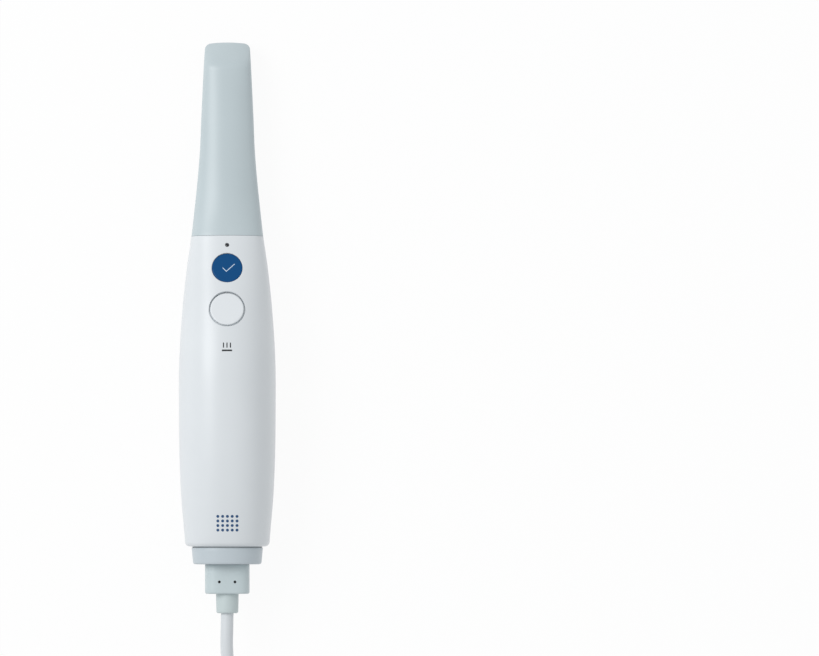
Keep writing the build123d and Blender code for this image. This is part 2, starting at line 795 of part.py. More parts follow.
# Plug: its housing, the insert that enters the socket, two grub screws and the strain relief
plug_end = collar_start - plug_length
plug_housing = rounded_bar(plug_width, plug_height, plug_corner, plug_end, plug_start, cable_level)
plug_housing = chamfer(plug_housing.edges().group_by(Axis.Y)[0], plug_edge)
plug_housing -= rounded_bar(insert_width + 2 * fit, insert_height + 2 * fit, insert_corner,
                            plug_start - insert_seat, plug_start + 1, cable_level)
plug_housing -= rod(relief_neck + 2 * fit, plug_end - 1, plug_end + relief_seat, 0, cable_level)
grub_place = collar_start - grub_setback
plug_top = cable_level + plug_height / 2
grub_floor = plug_top - grub_depth
grub_top = plug_top - grub_sink
grub_places = (-grub_spacing / 2, grub_spacing / 2)
plug_housing -= [post(grub_diameter, grub_place, x, grub_floor, plug_top + 1) for x in grub_places]
plug_screws = Compound(children=[
    post(grub_diameter - grub_play, grub_place, x, grub_floor, grub_top)
    - post(grub_socket, grub_place, x, grub_top - grub_socket_depth, plug_top) for x in grub_places])
plug_insert = rounded_bar(insert_width, insert_height, insert_corner, plug_start - insert_seat + fit,
                          insert_end, cable_level)
plug_insert = chamfer(plug_insert.edges().group_by(Axis.Y)[-1], insert_edge)
slot_half = contact_size / 2 + contact_play
plug_insert -= [block(2 * slot_half, socket_start + 0.5, insert_end + 1, level - slot_half, level + slot_half, x)
                for level in contact_levels for x in contact_places]
relief_end = plug_end - relief_length


def relief_ring(distance, diameter):
    """Round section of the strain relief."""
    radius = diameter / 2
    return oval(along(distance), radius, cable_level + radius, cable_level - radius, cable_level, 2, outer_sides)


strain_relief = Solid.make_loft([
    relief_ring(plug_end, relief_front_diameter),
    relief_ring(relief_end + relief_edge, relief_rear_diameter),
    relief_ring(relief_end, relief_rear_diameter - 2 * relief_edge)], ruled=True)
strain_relief += rod(relief_neck, plug_end - 0.5, plug_end + relief_seat - fit, 0, cable_level)
cord_bore = cord_diameter + cord_play
strain_relief -= rod(cord_bore, relief_end - 1, relief_end + relief_bore, 0, cable_level)

# Cord: a lead down to the floor, a tied hank of the rest, and a tail up to the plug that lies on the hank
cord_radius = cord_diameter / 2
hank_low = tie_thickness
hank_height = cord_diameter * hank_layers
hank_outer = hank_inner_radius + hank_pitch * (hank_columns - 1) + cord_radius
hank_hole = hank_inner_radius - cord_radius
lead_points = [
    (0, along(relief_end + relief_bore - fit), cable_level),
    (0, -151, cable_level - 0.3),
    (3.0, -170, 14.0),
    (7.5, -189, 5.2),
    (12.3, -203, cord_radius + 0.1),
]
hank_top = hank_low + hank_height
usb_level = hank_top + usb_grip_size[2] / 2
tail_points = [
    (-23.6, -290, hank_top - cord_radius),
    (-23.4, -278, hank_top - cord_radius + 1.0),
    (-22.4, -266, hank_top + 1.8),
    (usb_side, usb_grip_start - 4.5, usb_level),
    (usb_side, usb_grip_start + usb_bore, usb_level),
]


def cord(name, points):
    """Tube along straight runs joined by arcs as large as the runs allow."""
    vectors = [Vector(*point) for point in points]
    radii = []
    for i in range(1, len(vectors) - 1):
        before, after = vectors[i] - vectors[i - 1], vectors[i + 1] - vectors[i]
        turn = math.radians(before.get_angle(after))
        radii.append(0.45 * min(before.length, after.length) / math.tan(turn / 2))
    path = FilletPolyline(*points, radius=radii)
    plane = Plane(origin=vectors[0], z_dir=vectors[1] - vectors[0])
    outline = RegularPolygon(cord_radius, cord_sides)
    tube = sweep(plane * outline, path=path)
    share = round(tube.volume / (outline.area * path.length), 4)
    print(name, "radii", [round(radius) for radius in radii], "length", round(path.length, 1), "share", share)
    return tube


cord_lead = cord("lead", lead_points)
cord_tail = cord("tail", tail_points)
hank_middle = hank_front - hank_straight / 2
ring = SlotOverall(hank_straight + 2 * hank_outer, 2 * hank_outer) - SlotOverall(
    hank_straight + 2 * hank_hole, 2 * hank_hole)
cord_hank = extrude(Plane.XY * Pos(hank_side, hank_middle, hank_low) * Rot(0, 0, 90) * ring, hank_height)
cord_lead -= cord_hank
cord_tail -= cord_hank
bundle_width = hank_outer - hank_hole
tie_middle = hank_middle - tie_setback
hank_ties = []
for side in (-1, 1):
    x = hank_side + side * (hank_outer + hank_hole) / 2
    band = Plane(origin=(x, tie_middle - tie_width / 2, hank_low + hank_height / 2),
                 x_dir=(1, 0, 0), z_dir=(0, 1, 0))
    around = Rectangle(bundle_width + 2 * tie_thickness, hank_height + 2 * tie_thickness)
    within = Rectangle(bundle_width, hank_height)
    hank_ties.append(extrude(band * (around - within), tie_width))
hank_ties = Compound(children=hank_ties)

# Plug at the far end, lying on the hank
usb_plane = Plane(origin=(usb_side, usb_grip_start, usb_level), x_dir=(1, 0, 0), z_dir=(0, 1, 0))
grip_width, grip_length, grip_height = usb_grip_size
shell_width, shell_length, shell_height = usb_shell_size
usb_grip = extrude(usb_plane * RectangleRounded(grip_width, grip_height, usb_corner), grip_length)
usb_grip = chamfer(usb_grip.edges().group_by(Axis.Y)[0], usb_edge)
usb_grip -= round_bar(usb_plane, cord_bore, usb_bore + fit)
shell_plane = usb_plane.offset(grip_length - usb_shell_seat)
usb_grip -= extrude(shell_plane * Rectangle(shell_width, shell_height), usb_shell_seat + 1)
shell_outline = Rectangle(shell_width, shell_height) - Rectangle(
    shell_width - 2 * usb_shell_wall, shell_height - 2 * usb_shell_wall)
usb_shell = extrude(shell_plane * shell_outline, shell_length + usb_shell_seat)
tongue_width = shell_width - 2 * usb_shell_wall - 2 * fit
usb_tongue = extrude(shell_plane * Pos(0, usb_tongue_lift) * Rectangle(tongue_width, usb_tongue_thickness),
                     shell_length + usb_shell_seat - 1)

parts = {
    "upper_housing": upper_housing,
    "lower_housing": lower_housing,
    "scan_button": scan_button,
    "scan_plunger": scan_plunger,
    "confirm_button": confirm_button,
    "confirm_plunger": confirm_plunger,
    "scan_switch": scan_switch,
    "confirm_switch": confirm_switch,
    "button_board": button_board + light_chip,
    "status_light_pipe": status_light_pipe,
    "tip_sleeve": tip_sleeve,
    "tip_mirror": tip_mirror,
    "nose_tube": nose_tube,
    "nose_window": nose_window,
    "nose_seal": nose_seal,
    "nose_screws": nose_screws,
    "optics_chassis": chassis,
    "chassis_screws": chassis_screws,
    "projector_lens": projector_lens,
    "projector_engine": projector_engine,
    "projector_heat_sink": projector_heat_sink,
    "left_camera_lens": left_camera_lens,
    "right_camera_lens": right_camera_lens,
    "left_camera_board": left_camera_board,
    "right_camera_board": right_camera_board,
    "main_board": main_board,
    "board_chips": board_chips,
    "chip_cooler": chip_cooler,
    "board_screws": board_screws,
    "rear_cap": rear_cap,
    "rear_gasket": rear_gasket,
    "cap_screws": cap_screws,
    "rear_socket": rear_socket,
    "socket_pins": socket_pins,
    "plug_housing": plug_housing,
    "plug_insert": plug_insert,
    "plug_screws": plug_screws,
    "strain_relief": strain_relief,
    "cord_lead": cord_lead,
    "cord_tail": cord_tail,
    "cord_hank": cord_hank,
    "hank_ties": hank_ties,
    "usb_grip": usb_grip,
    "usb_shell": usb_shell,
    "usb_tongue": usb_tongue,
}
for name, shape in parts.items():
    export_step(shape, "parts/" + name + ".step")
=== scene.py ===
import json
import math

import bmesh
import bpy
from mathutils import Matrix, Vector


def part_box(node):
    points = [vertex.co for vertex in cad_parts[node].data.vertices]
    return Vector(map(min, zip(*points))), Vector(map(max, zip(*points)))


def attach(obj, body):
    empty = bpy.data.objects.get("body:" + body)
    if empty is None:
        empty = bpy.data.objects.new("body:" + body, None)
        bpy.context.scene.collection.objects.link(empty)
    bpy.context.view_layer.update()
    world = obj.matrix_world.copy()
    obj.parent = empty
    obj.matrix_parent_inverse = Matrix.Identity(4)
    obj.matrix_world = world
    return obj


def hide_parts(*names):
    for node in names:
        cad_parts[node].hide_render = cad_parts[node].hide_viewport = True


# A hand-held dental scanner: two moulded grip halves, two push keys, a pull-off tip with a mirror and a
# window, a rear collar with a socket, and a plug-in lead whose spare length is tied in a hank.
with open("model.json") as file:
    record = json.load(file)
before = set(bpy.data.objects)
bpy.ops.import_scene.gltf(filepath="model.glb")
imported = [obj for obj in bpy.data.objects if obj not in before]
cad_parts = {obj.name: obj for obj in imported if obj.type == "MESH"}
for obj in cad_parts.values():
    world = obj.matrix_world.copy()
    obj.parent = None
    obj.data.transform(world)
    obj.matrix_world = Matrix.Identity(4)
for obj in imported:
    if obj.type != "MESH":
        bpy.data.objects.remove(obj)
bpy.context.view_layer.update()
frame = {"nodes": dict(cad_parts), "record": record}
MM = 0.001


def placed(name, data):
    """A new object of this data, in the scene."""
    made = bpy.data.objects.new(name, data)
    bpy.context.scene.collection.objects.link(made)
    return made


# The photograph's view: straight down on the keys, through a long lens, so the scanner keeps its outline.
# One pixel is 0.46 mm at the height of the grip's widest line. Heights are in metres.
PHOTO_WIDTH, PHOTO_HEIGHT = 819, 656
PIXEL = 0.46 * MM
AXIS_PIXEL = (227.3, 327.7)
CAMERA_HEIGHT, WIDEST_LEVEL = 12.0, 0.020
SENSOR = 36.0
camera = placed("camera", bpy.data.cameras.new("camera"))
camera.data.sensor_width = SENSOR
camera.data.lens = SENSOR * (CAMERA_HEIGHT - WIDEST_LEVEL) / (PHOTO_WIDTH * PIXEL)
camera.data.clip_end = 100.0
camera.location = ((PHOTO_WIDTH / 2 - AXIS_PIXEL[0]) * PIXEL, (AXIS_PIXEL[1] - PHOTO_HEIGHT / 2) * PIXEL,
                   CAMERA_HEIGHT)
bpy.context.scene.camera = camera


class Value:
    """One socket of a node tree. Sums, products and powers of it add the Math nodes that work them out."""

    def __init__(self, tree, socket):
        self.tree = tree
        self.socket = socket

    @classmethod
    def of(cls, tree, kind, sockets=(), output=0, **settings):
        """An output of a new node with these settings, whose sockets take values or links."""
        node = tree.nodes.new(kind)
        for name, setting in settings.items():
            setattr(node, name, setting)
        fill(tree, node, dict(sockets))
        return cls(tree, node.outputs[output])

    def maths(self, operation, *numbers):
        """A Math node on this value and the numbers or values after it."""
        return Value.of(self.tree, "ShaderNodeMath", dict(enumerate((self,) + numbers)), operation=operation)

    def __abs__(self):
        return self.maths("ABSOLUTE")

    def part(self, letter):
        """The X, Y or Z of a vector."""
        return Value.of(self.tree, "ShaderNodeSeparateXYZ", {"Vector": self}, letter)

    def between(self, first, second):
        """A colour that goes from the first to the second as this value goes from 0 to 1."""
        return Value.of(self.tree, "ShaderNodeMix", {0: self, 6: first, 7: second}, 2, data_type="RGBA")


for symbol, operation in {"add": "ADD", "sub": "SUBTRACT", "mul": "MULTIPLY", "truediv": "DIVIDE",
                          "pow": "POWER"}.items():
    def value_first(self, other, operation=operation):
        return self.maths(operation, other)

    def value_last(self, other, operation=operation):
        return Value.of(self.tree, "ShaderNodeMath", {0: other, 1: self}, operation=operation)

    setattr(Value, "__%s__" % symbol, value_first)
    setattr(Value, "__r%s__" % symbol, value_last)


def fill(tree, node, sockets):
    """Sets the sockets of a node, or links them where a value or a list of values is given."""
    for name, given in sockets.items():
        if isinstance(given, (Value, list)):
            for linked in given if isinstance(given, list) else [given]:
                tree.links.new(linked.socket, node.inputs[name])
        else:
            node.inputs[name].default_value = given


# The moulded plastics: satin parts from one spark-eroded tool. The grain is a fine bump, the flow of the
# melt shows as a very faint cloud, and the gloss varies with both.
CLOUD_SCALE = 38.0
GRAIN_HEIGHT = 0.012 * MM


def new_material(name):
    """A new material, its node tree and its shader."""
    material = bpy.data.materials.new(name)
    material.use_nodes = True
    return material, material.node_tree, material.node_tree.nodes["Principled BSDF"]


def satin(name, colour, roughness, grain=0.5, grain_size=0.35 * MM, coat=0.0, metal=0.0, more=()):
    """A satin surface of one colour: moulded plastic, rubber, glass or a blasted metal."""
    material, tree, shader = new_material(name)
    place = Value.of(tree, "ShaderNodeTexCoord", output="Object")
    cloud = Value.of(tree, "ShaderNodeTexNoise", {"Vector": place, "Scale": CLOUD_SCALE, "Detail": 3.0})
    fine = Value.of(tree, "ShaderNodeTexNoise", {"Vector": place, "Scale": 1 / grain_size, "Detail": 2.0})
    deep, pale = [(*(part * factor for part in colour), 1.0) for factor in (0.97, 1.03)]
    bump = Value.of(tree, "ShaderNodeBump", {"Strength": grain, "Distance": GRAIN_HEIGHT, "Height": fine})
    fill(tree, shader, {"Coat Weight": coat, "Coat Roughness": 0.08, "Metallic": metal, "Normal": bump,
                        "Base Color": cloud.between(deep, pale),
                        "Roughness": roughness - 0.03 + cloud * 0.04 + fine * 0.03, **dict(more)})
    return material


white_plastic = satin("white_plastic", (0.735, 0.765, 0.79), 0.34, grain=0.35)
tip_plastic = satin("tip_plastic", (0.53, 0.603, 0.63), 0.36, grain=0.3, grain_size=0.25 * MM)

# The outer form: grip and tip share one line, an oval with flattened sides that swells at the grip and
# narrows to the head. Distances run forwards from the grip's rear face, in millimetres.
HOUSING_LENGTH, TIP_LENGTH = 142.5, 89.4
REAR_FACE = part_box("upper_housing")[0].y / MM
SEAM_LEVEL, SEAM_TILT, SEAM_FADE = 16.0, math.radians(3.0), 25.0
REAR_LEVEL, HEAD_LEVEL = 20.0, 12.5
# Share of the length, half width, top, bottom, and power of the oval
HOUSING_FORM = [
    (0.000, 19.3, 37.5, 3.2, 2.3), (0.053, 19.9, 39.3, 2.2, 2.3), (0.150, 21.1, 41.6, 0.8, 2.3),
    (0.279, 21.95, 43.2, -0.3, 2.3), (0.441, 22.25, 43.7, -0.6, 2.3), (0.602, 22.1, 42.6, -0.5, 2.3),
    (0.768, 20.6, 37.5, 0.4, 2.3), (0.900, 18.6, 31.3, 2.2, 2.4),
]
TIP_FORM = [
    (0.000, 16.55, 26.9, 3.8, 2.5), (0.138, 15.15, 24.0, 4.6, 2.6), (0.292, 13.72, 22.3, 5.0, 2.7),
    (0.446, 12.63, 21.3, 5.1, 2.8), (0.601, 12.06, 20.5, 5.1, 2.95), (0.755, 11.42, 19.7, 5.0, 3.2),
    (0.909, 10.72, 19.0, 5.0, 3.8), (1.000, 10.2, 18.6, 5.0, 4.0),
]
stations = [(share * HOUSING_LENGTH, *sizes, REAR_LEVEL + (SEAM_LEVEL - REAR_LEVEL) * share)
            for share, *sizes in HOUSING_FORM]
stations += [(HOUSING_LENGTH + share * TIP_LENGTH, *sizes, SEAM_LEVEL + (HEAD_LEVEL - SEAM_LEVEL) * share)
             for share, *sizes in TIP_FORM]
FORM_END = HOUSING_LENGTH + TIP_LENGTH


def along(distance):
    """Y of a place this far forward of the grip's rear face, in millimetres."""
    return REAR_FACE + distance


def form_at(distance):
    """Half width, top, bottom, power and widest level of the form, by a cubic through the stations."""
    index = max(i for i in range(len(stations) - 1) if stations[i][0] <= max(distance, 0))
    before, after = stations[index], stations[index + 1]
    length = after[0] - before[0]
    share = (distance - before[0]) / length
    sizes = []
    for column in range(1, 6):
        slopes = []
        for i in (index, index + 1):
            low, high = stations[max(i - 1, 0)], stations[min(i + 1, len(stations) - 1)]
            slopes.append((high[column] - low[column]) / (high[0] - low[0]) * length)
        blend = 3 * share**2 - 2 * share**3
        lean = slopes[0] * (share**3 - 2 * share**2 + share) + slopes[1] * (share**3 - share**2)
        sizes.append(before[column] * (1 - blend) + after[column] * blend + lean)
    return sizes


def seam_lean(distance):
    """How much the sections near the seam lean back with height, so that the seam is tilted."""
    return math.tan(SEAM_TILT) * max(0.0, 1 - abs(distance - HOUSING_LENGTH) / SEAM_FADE)


def oval_row(distance, half, rise, drop, power, level, inset, lean=0.0, scale=1.0):
    """One row of a skin: an oval here, drawn in by the inset and then scaled about its middle."""
    return {"y": along(distance), "half": (half - inset) * scale, "rise": (rise - inset) * scale,
            "drop": (drop - inset) * scale, "power": power, "level": level, "lean": lean}


def form_row(distance, inset=0.0, scale=1.0):
    """One row of the outer form."""
    half, top, bottom, power, level = form_at(distance)
    return oval_row(distance, half, top - level, level - bottom, power, level, inset, seam_lean(distance),
                    scale)


def steps(start, end, longest):
    """Evenly spaced numbers from start to end, both included, at most this far apart."""
    count = max(1, math.ceil(abs(end - start) / longest))
    return [start + (end - start) * i / count for i in range(count + 1)]


def quarter(radius, count=4):
    """A rounded edge of this radius: how far each point is from the two faces that it joins."""
    angles = [math.pi / 2 * i / count for i in range(count + 1)]
    return [(radius * (1 - math.sin(angle)), radius * (1 - math.cos(angle))) for angle in angles]


def rounded_run(start, start_edge, end, end_edge, longest):
    """Places from start to end and their insets. Each edge is a radius and its number of steps."""
    way = math.copysign(1, end - start)
    run = [(start + way * down, across) for down, across in reversed(quarter(*start_edge))]
    run += [(place, 0.0) for place in steps(run[-1][0], end - way * end_edge[0], longest)[1:]]
    return run + [(end - way * down, across) for down, across in quarter(*end_edge)[1:]]


def new_tree(name, **inputs):
    """A geometry tree with these named inputs, a material called Finish among them."""
    tree = bpy.data.node_groups.new(name, "GeometryNodeTree")
    for title, kind in (*inputs.items(), ("Finish", "Material")):
        tree.interface.new_socket(title.replace("_", " "), in_out="INPUT", socket_type="NodeSocket" + kind)
    tree.interface.new_socket("Geometry", in_out="OUTPUT", socket_type="NodeSocketGeometry")
    return tree


def given(tree, title):
    """A named input of a geometry tree."""
    return Value.of(tree, "NodeGroupInput", output=title)


def given_shape(tree, title):
    """The geometry of the object that a named input holds."""
    return Value.of(tree, "GeometryNodeObjectInfo", {"Object": given(tree, title)}, "Geometry")


def end_tree(tree, shape):
    """Ends a geometry tree: its instances become real and take the material."""
    real = Value.of(tree, "GeometryNodeRealizeInstances", {"Geometry": shape})
    done = Value.of(tree, "GeometryNodeSetMaterial", {"Geometry": real, "Material": given(tree, "Finish")})
    fill(tree, tree.nodes.new("NodeGroupOutput"), {"Geometry": done})
    return tree


def oval_skin_tree():
    """Geometry tree that lays a grid over the ovals of a table of rows, at the angles of another table."""
    tree = new_tree("oval_skin", Rows="Object", Angles="Object", Row_count="Int", Angle_count="Int",
                    Seam_level="Float")

    def looked_up(table_name, index, column):
        stored = Value.of(tree, "GeometryNodeInputNamedAttribute", {"Name": column}, data_type="FLOAT")
        return Value.of(tree, "GeometryNodeSampleIndex", {
            "Geometry": given_shape(tree, table_name), "Value": stored, "Index": index}, data_type="FLOAT")

    row_count = given(tree, "Row count")
    grid = Value.of(tree, "GeometryNodeMeshGrid", {
        "Vertices X": given(tree, "Angle count"), "Vertices Y": row_count})
    index = Value.of(tree, "GeometryNodeInputIndex")
    column = (index / row_count).maths("FLOOR")
    row = index - column * row_count
    angle, shrink = looked_up("Angles", column, "angle"), looked_up("Angles", column, "shrink")
    across, up = angle.maths("COSINE"), angle.maths("SINE")
    bend = 2 / looked_up("Rows", row, "power")
    above = up.maths("GREATER_THAN", 0.0)
    reach = looked_up("Rows", row, "rise") * above + looked_up("Rows", row, "drop") * (1 - above)
    x = abs(across) ** bend * across.maths("SIGN") * (looked_up("Rows", row, "half") - shrink)
    climb = abs(up) ** bend * up.maths("SIGN") * (reach - shrink)
    z = looked_up("Rows", row, "level") + climb
    y = looked_up("Rows", row, "y") + looked_up("Rows", row, "lean") * (z - given(tree, "Seam level"))
    place = Value.of(tree, "ShaderNodeCombineXYZ", {"X": x * MM, "Y": y * MM, "Z": z * MM})
    return end_tree(tree, Value.of(tree, "GeometryNodeSetPosition", {"Geometry": grid, "Position": place}))


def plain_mesh(made):
    """The mesh of an object with its modifiers carried out. The object is removed."""
    graph = bpy.context.evaluated_depsgraph_get()
    graph.update()
    mesh = bpy.data.meshes.new_from_object(made.evaluated_get(graph))
    bpy.data.objects.remove(made)
    return mesh


def grown(tree, values, passing):
    """The mesh that a geometry tree makes with these inputs. Objects that only feed it are removed."""
    carrier = placed("carrier", bpy.data.meshes.new("carrier"))
    modifier = carrier.modifiers.new("tree", "NODES")
    modifier.node_group = tree
    for socket in tree.interface.items_tree:
        if socket.in_out == "INPUT":
            modifier[socket.identifier] = values[socket.name]
    mesh = plain_mesh(carrier)
    for name in passing:
        bpy.data.objects.remove(values[name])
    return mesh


def points_at(places):
    """An object with one point at each of these places, in metres."""
    mesh = bpy.data.meshes.new("places")
    mesh.from_pydata(places, [], [])
    return placed("places", mesh)


def table(rows):
    """A table for a geometry tree: one point for each row, with a stored number for each column."""
    holder = points_at([(0, 0, 0)] * len(rows))
    for column in rows[0]:
        attribute = holder.data.attributes.new(column, "FLOAT", "POINT")
        attribute.data.foreach_set("value", [row[column] for row in rows])
    return holder


oval_skin = oval_skin_tree()


def skin(rows, angles, material):
    """A bmesh of the skin over these rows and angles, and its vertices as grid[angle][row]."""
    mesh = grown(oval_skin, {
        "Rows": table(rows), "Angles": table(angles), "Row count": len(rows), "Angle count": len(angles),
        "Seam level": SEAM_LEVEL, "Finish": material}, ("Rows", "Angles"))
    bm = bmesh.new()
    bm.from_mesh(mesh)
    bm.verts.ensure_lookup_table()
    count = len(rows)
    grid = [[bm.verts[column * count + row] for row in range(count)] for column in range(len(angles))]
    return bm, grid


def turn(count, first=0.0, last=360.0):
    """The angles of a skin, in degrees from the right-hand side. A full turn ends where it starts."""
    return [{"angle": math.radians((first + (last - first) * i / count) % 360.0), "shrink": 0.0}
            for i in range(count + 1)]


def piece(name, shape, material, body, replaced=(), sharp=35.0, smooth=True):
    """The finished object of a bmesh or a mesh: closed, facing out, smooth but for its sharp edges."""
    mesh = shape
    if isinstance(shape, bmesh.types.BMesh):
        bmesh.ops.remove_doubles(shape, verts=shape.verts, dist=0.0005 * MM)
        bmesh.ops.dissolve_degenerate(shape, edges=shape.edges, dist=0.0005 * MM)
        bmesh.ops.recalc_face_normals(shape, faces=shape.faces)
        mesh = bpy.data.meshes.new(name)
        shape.to_mesh(mesh)
        shape.free()
    mesh.name = name
    made = placed(name, mesh)
    mesh.materials.clear()
    mesh.materials.append(material)
    for face in mesh.polygons:
        face.use_smooth = smooth
    if smooth:
        mesh.set_sharp_from_angle(angle=math.radians(sharp))
    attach(made, body)
    if replaced:
        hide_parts(*replaced)
    return made


def bridge(bm, first, second):
    """Faces between two closed loops of as many vertices."""
    for k in range(len(first)):
        after = (k + 1) % len(first)
        bm.faces.new((first[k], first[after], second[after], second[k]))


def fan(bm, loop, hub):
    """Faces from each edge of a closed loop to one vertex."""
    for k, vertex in enumerate(loop):
        bm.faces.new((vertex, loop[(k + 1) % len(loop)], hub))


def rings(bm, loop, places):
    """Loops of new vertices at these lists of places in millimetres, each bridged to the one before."""
    for ring in places:
        fresh = [bm.verts.new(Vector(place) * MM) for place in ring]
        bridge(bm, loop, fresh)
        loop = fresh
    return loop


def lofted(loops, closed=False):
    """A bmesh through loops of as many places, with flat ends, or closed on itself like a ring."""
    bm = bmesh.new()
    first = [bm.verts.new(Vector(place) * MM) for place in loops[0]]
    last = rings(bm, first, loops[1:])
    if closed:
        bridge(bm, last, first)
    else:
        bm.faces.new(first)
        bm.faces.new(list(reversed(last)))
    bmesh.ops.recalc_face_normals(bm, faces=bm.faces)
    return bm


def flat_ends(bm, grid):
    """Closes a skin that goes all round with one flat face at each end."""
    for row in (0, -1):
        bm.faces.new([column[row] for column in grid[:-1]])


def cleared(bm, grid, columns, rows):
    """The border of a rectangle of the grid, in order round it, once what lies inside has been removed."""
    (c0, c1), (r0, r1) = columns, rows
    border = [(c, r0) for c in range(c0, c1)] + [(c1, r) for r in range(r0, r1)]
    border += [(c, r1) for c in range(c1, c0, -1)] + [(c0, r) for r in range(r1, r0, -1)]
    inside = [grid[c][r] for c in range(c0 + 1, c1) for r in range(r0 + 1, r1)]
    bmesh.ops.delete(bm, geom=inside, context="VERTS")
    return [grid[c][r] for c, r in border]


def cleared_through(bm, grid, columns, outer_rows, inner_rows):
    """The borders of one opening in the outer and the inner skin, both from the same corner round."""
    outer = cleared(bm, grid, columns, outer_rows)
    border = cleared(bm, grid, columns, inner_rows)
    first = border.index(grid[columns[0]][inner_rows[1]])
    return outer, [border[(first - k) % len(border)] for k in range(len(border))]


def column_near(angles, wanted):
    """Number of the angle nearest to this one, in degrees."""
    return min(range(len(angles)), key=lambda number: abs(math.degrees(angles[number]["angle"]) - wanted))


# The keys' deck: one plane through the middles of both keys, which slopes down to the tip. Key bores and
# the light's hole are square to it. The places on the grip come from the photograph.
SCAN_PLACE, CONFIRM_PLACE, LIGHT_PLACE = HOUSING_LENGTH - 33.1, HOUSING_LENGTH - 14.3, HOUSING_LENGTH - 3.9
deck_slope = math.atan2(form_at(SCAN_PLACE)[1] - form_at(CONFIRM_PLACE)[1], CONFIRM_PLACE - SCAN_PLACE)
deck_origin = Vector((0, along(SCAN_PLACE), form_at(SCAN_PLACE)[1]))
deck_forward = Vector((0, math.cos(deck_slope), -math.sin(deck_slope)))
deck_up = Vector((0, math.sin(deck_slope), math.cos(deck_slope)))
CONFIRM_RUN = (CONFIRM_PLACE - SCAN_PLACE) / math.cos(deck_slope)
LIGHT_RUN = (LIGHT_PLACE - SCAN_PLACE) / math.cos(deck_slope)


def on_deck(x, run, height):
    """Place in millimetres: across, forward along the deck from the scan key, and up from the deck."""
    return deck_origin + Vector((x, 0, 0)) + deck_forward * run + deck_up * height


def skin_height(x, y, inset, side):
    """Z of the form's upper (1) or lower (-1) skin at this place, drawn in by the inset."""
    z = SEAM_LEVEL + side * 8
    for _ in range(6):
        lean = seam_lean(y - REAR_FACE)
        half, top, bottom, power, level = form_at(y - REAR_FACE - lean * (z - SEAM_LEVEL))
        share = max(0.0, 1 - (abs(x) / (half - inset)) ** power) ** (1 / power)
        reach = top - level - inset if side > 0 else level - bottom - inset
        z = level + side * reach * share
    return z


def skin_over_deck(x, run, inset):
    """Height over the deck at which its normal meets the upper skin."""
    height = -inset
    for _ in range(8):
        place = on_deck(x, run, height)
        height -= (place.z - skin_height(x, place.y, inset, 1)) * math.cos(deck_slope)
    return height


def deck_places(loop):
    """Across and forward along the deck of each vertex of a loop."""
    offsets = [vertex.co / MM - deck_origin for vertex in loop]
    return [(offset.x, offset.dot(deck_forward)) for offset in offsets]


# Grip halves: two shells moulded in glossy white, 2 mm thick, clipped together along a line round the
# waist. The rear edge is rounded, and the belly has a narrow flat on which the scanner lies.
WALL = 2.0
REAR_ROUND = 2.0
GRIP_SIDES = 96
PARTING_GAP, PARTING_REACH, PARTING_EDGE = 0.09, 20.0, (0.12, 0.03)
EDGE, SEAM_GAP = 0.12, 0.08
LIP_DEPTH, LIP_LENGTH = 0.4, 1.0
BORE_RIM = 0.2
SCAN_RADIUS, CONFIRM_RADIUS = 15.3 / 2, 14.0 / 2
GUIDE_DEPTH, GUIDE_WALL = 4.4, 1.2
# Distances at which the rows stop and start again round the two keys and the light
KEY_BORDERS = (100.6, 118.6, 119.4, 136.2, 136.9, 140.3)
BORES = (
    # Borders, spread to each side in degrees, place along the deck, radius, depth and wall
    (KEY_BORDERS[0:2], 27.0, 0.0, SCAN_RADIUS + 0.7, GUIDE_DEPTH, GUIDE_WALL),
    (KEY_BORDERS[2:4], 27.0, CONFIRM_RUN, CONFIRM_RADIUS + 0.08, GUIDE_DEPTH, GUIDE_WALL),
    (KEY_BORDERS[4:6], 8.0, LIGHT_RUN, 0.96, WALL + 1.0, 0.6),
)
# How many rows make the rear's rounded edge, before the outside's plain rows begin
RIM_ROWS = 8
front = HOUSING_LENGTH - SEAM_GAP / 2


def round_bore(bm, outer, inner, run, radius, depth, wall):
    """A bore square to the deck, with a rounded rim, from the outer to the inner skin of the shell."""
    flat = deck_places(outer)
    angles = [math.atan2(forward - run, across) for across, forward in flat]

    def ring(size, inset=0.0, drop=0.0, height=None):
        """A round ring, this far under the skin, or at a height over the deck."""
        spots = [(size * math.cos(angle), run + size * math.sin(angle)) for angle in angles]
        return [on_deck(x, y, skin_over_deck(x, y, inset) - drop if height is None else height)
                for x, y in spots]

    def between(border, size, inset, share):
        """A ring on the skin, this share of the way from the opening's border to the round one."""
        places = []
        for (across, forward), angle in zip(border, angles):
            x = across + (size * math.cos(angle) - across) * share
            y = forward + (run + size * math.sin(angle) - forward) * share
            places.append(on_deck(x, y, skin_over_deck(x, y, inset)))
        return places

    places = [between(flat, radius + BORE_RIM, 0.0, share) for share in (0.2, 0.4, 0.6, 0.8, 1.0)]
    places += [ring(radius + across, drop=down) for across, down in quarter(BORE_RIM)[1:]]
    places += [ring(radius, height=-depth), ring(radius + wall, height=-depth), ring(radius + wall, WALL)]
    places += [between(deck_places(inner), radius + wall, WALL, share) for share in (0.66, 0.33)]
    bridge(bm, rings(bm, outer, places), inner)


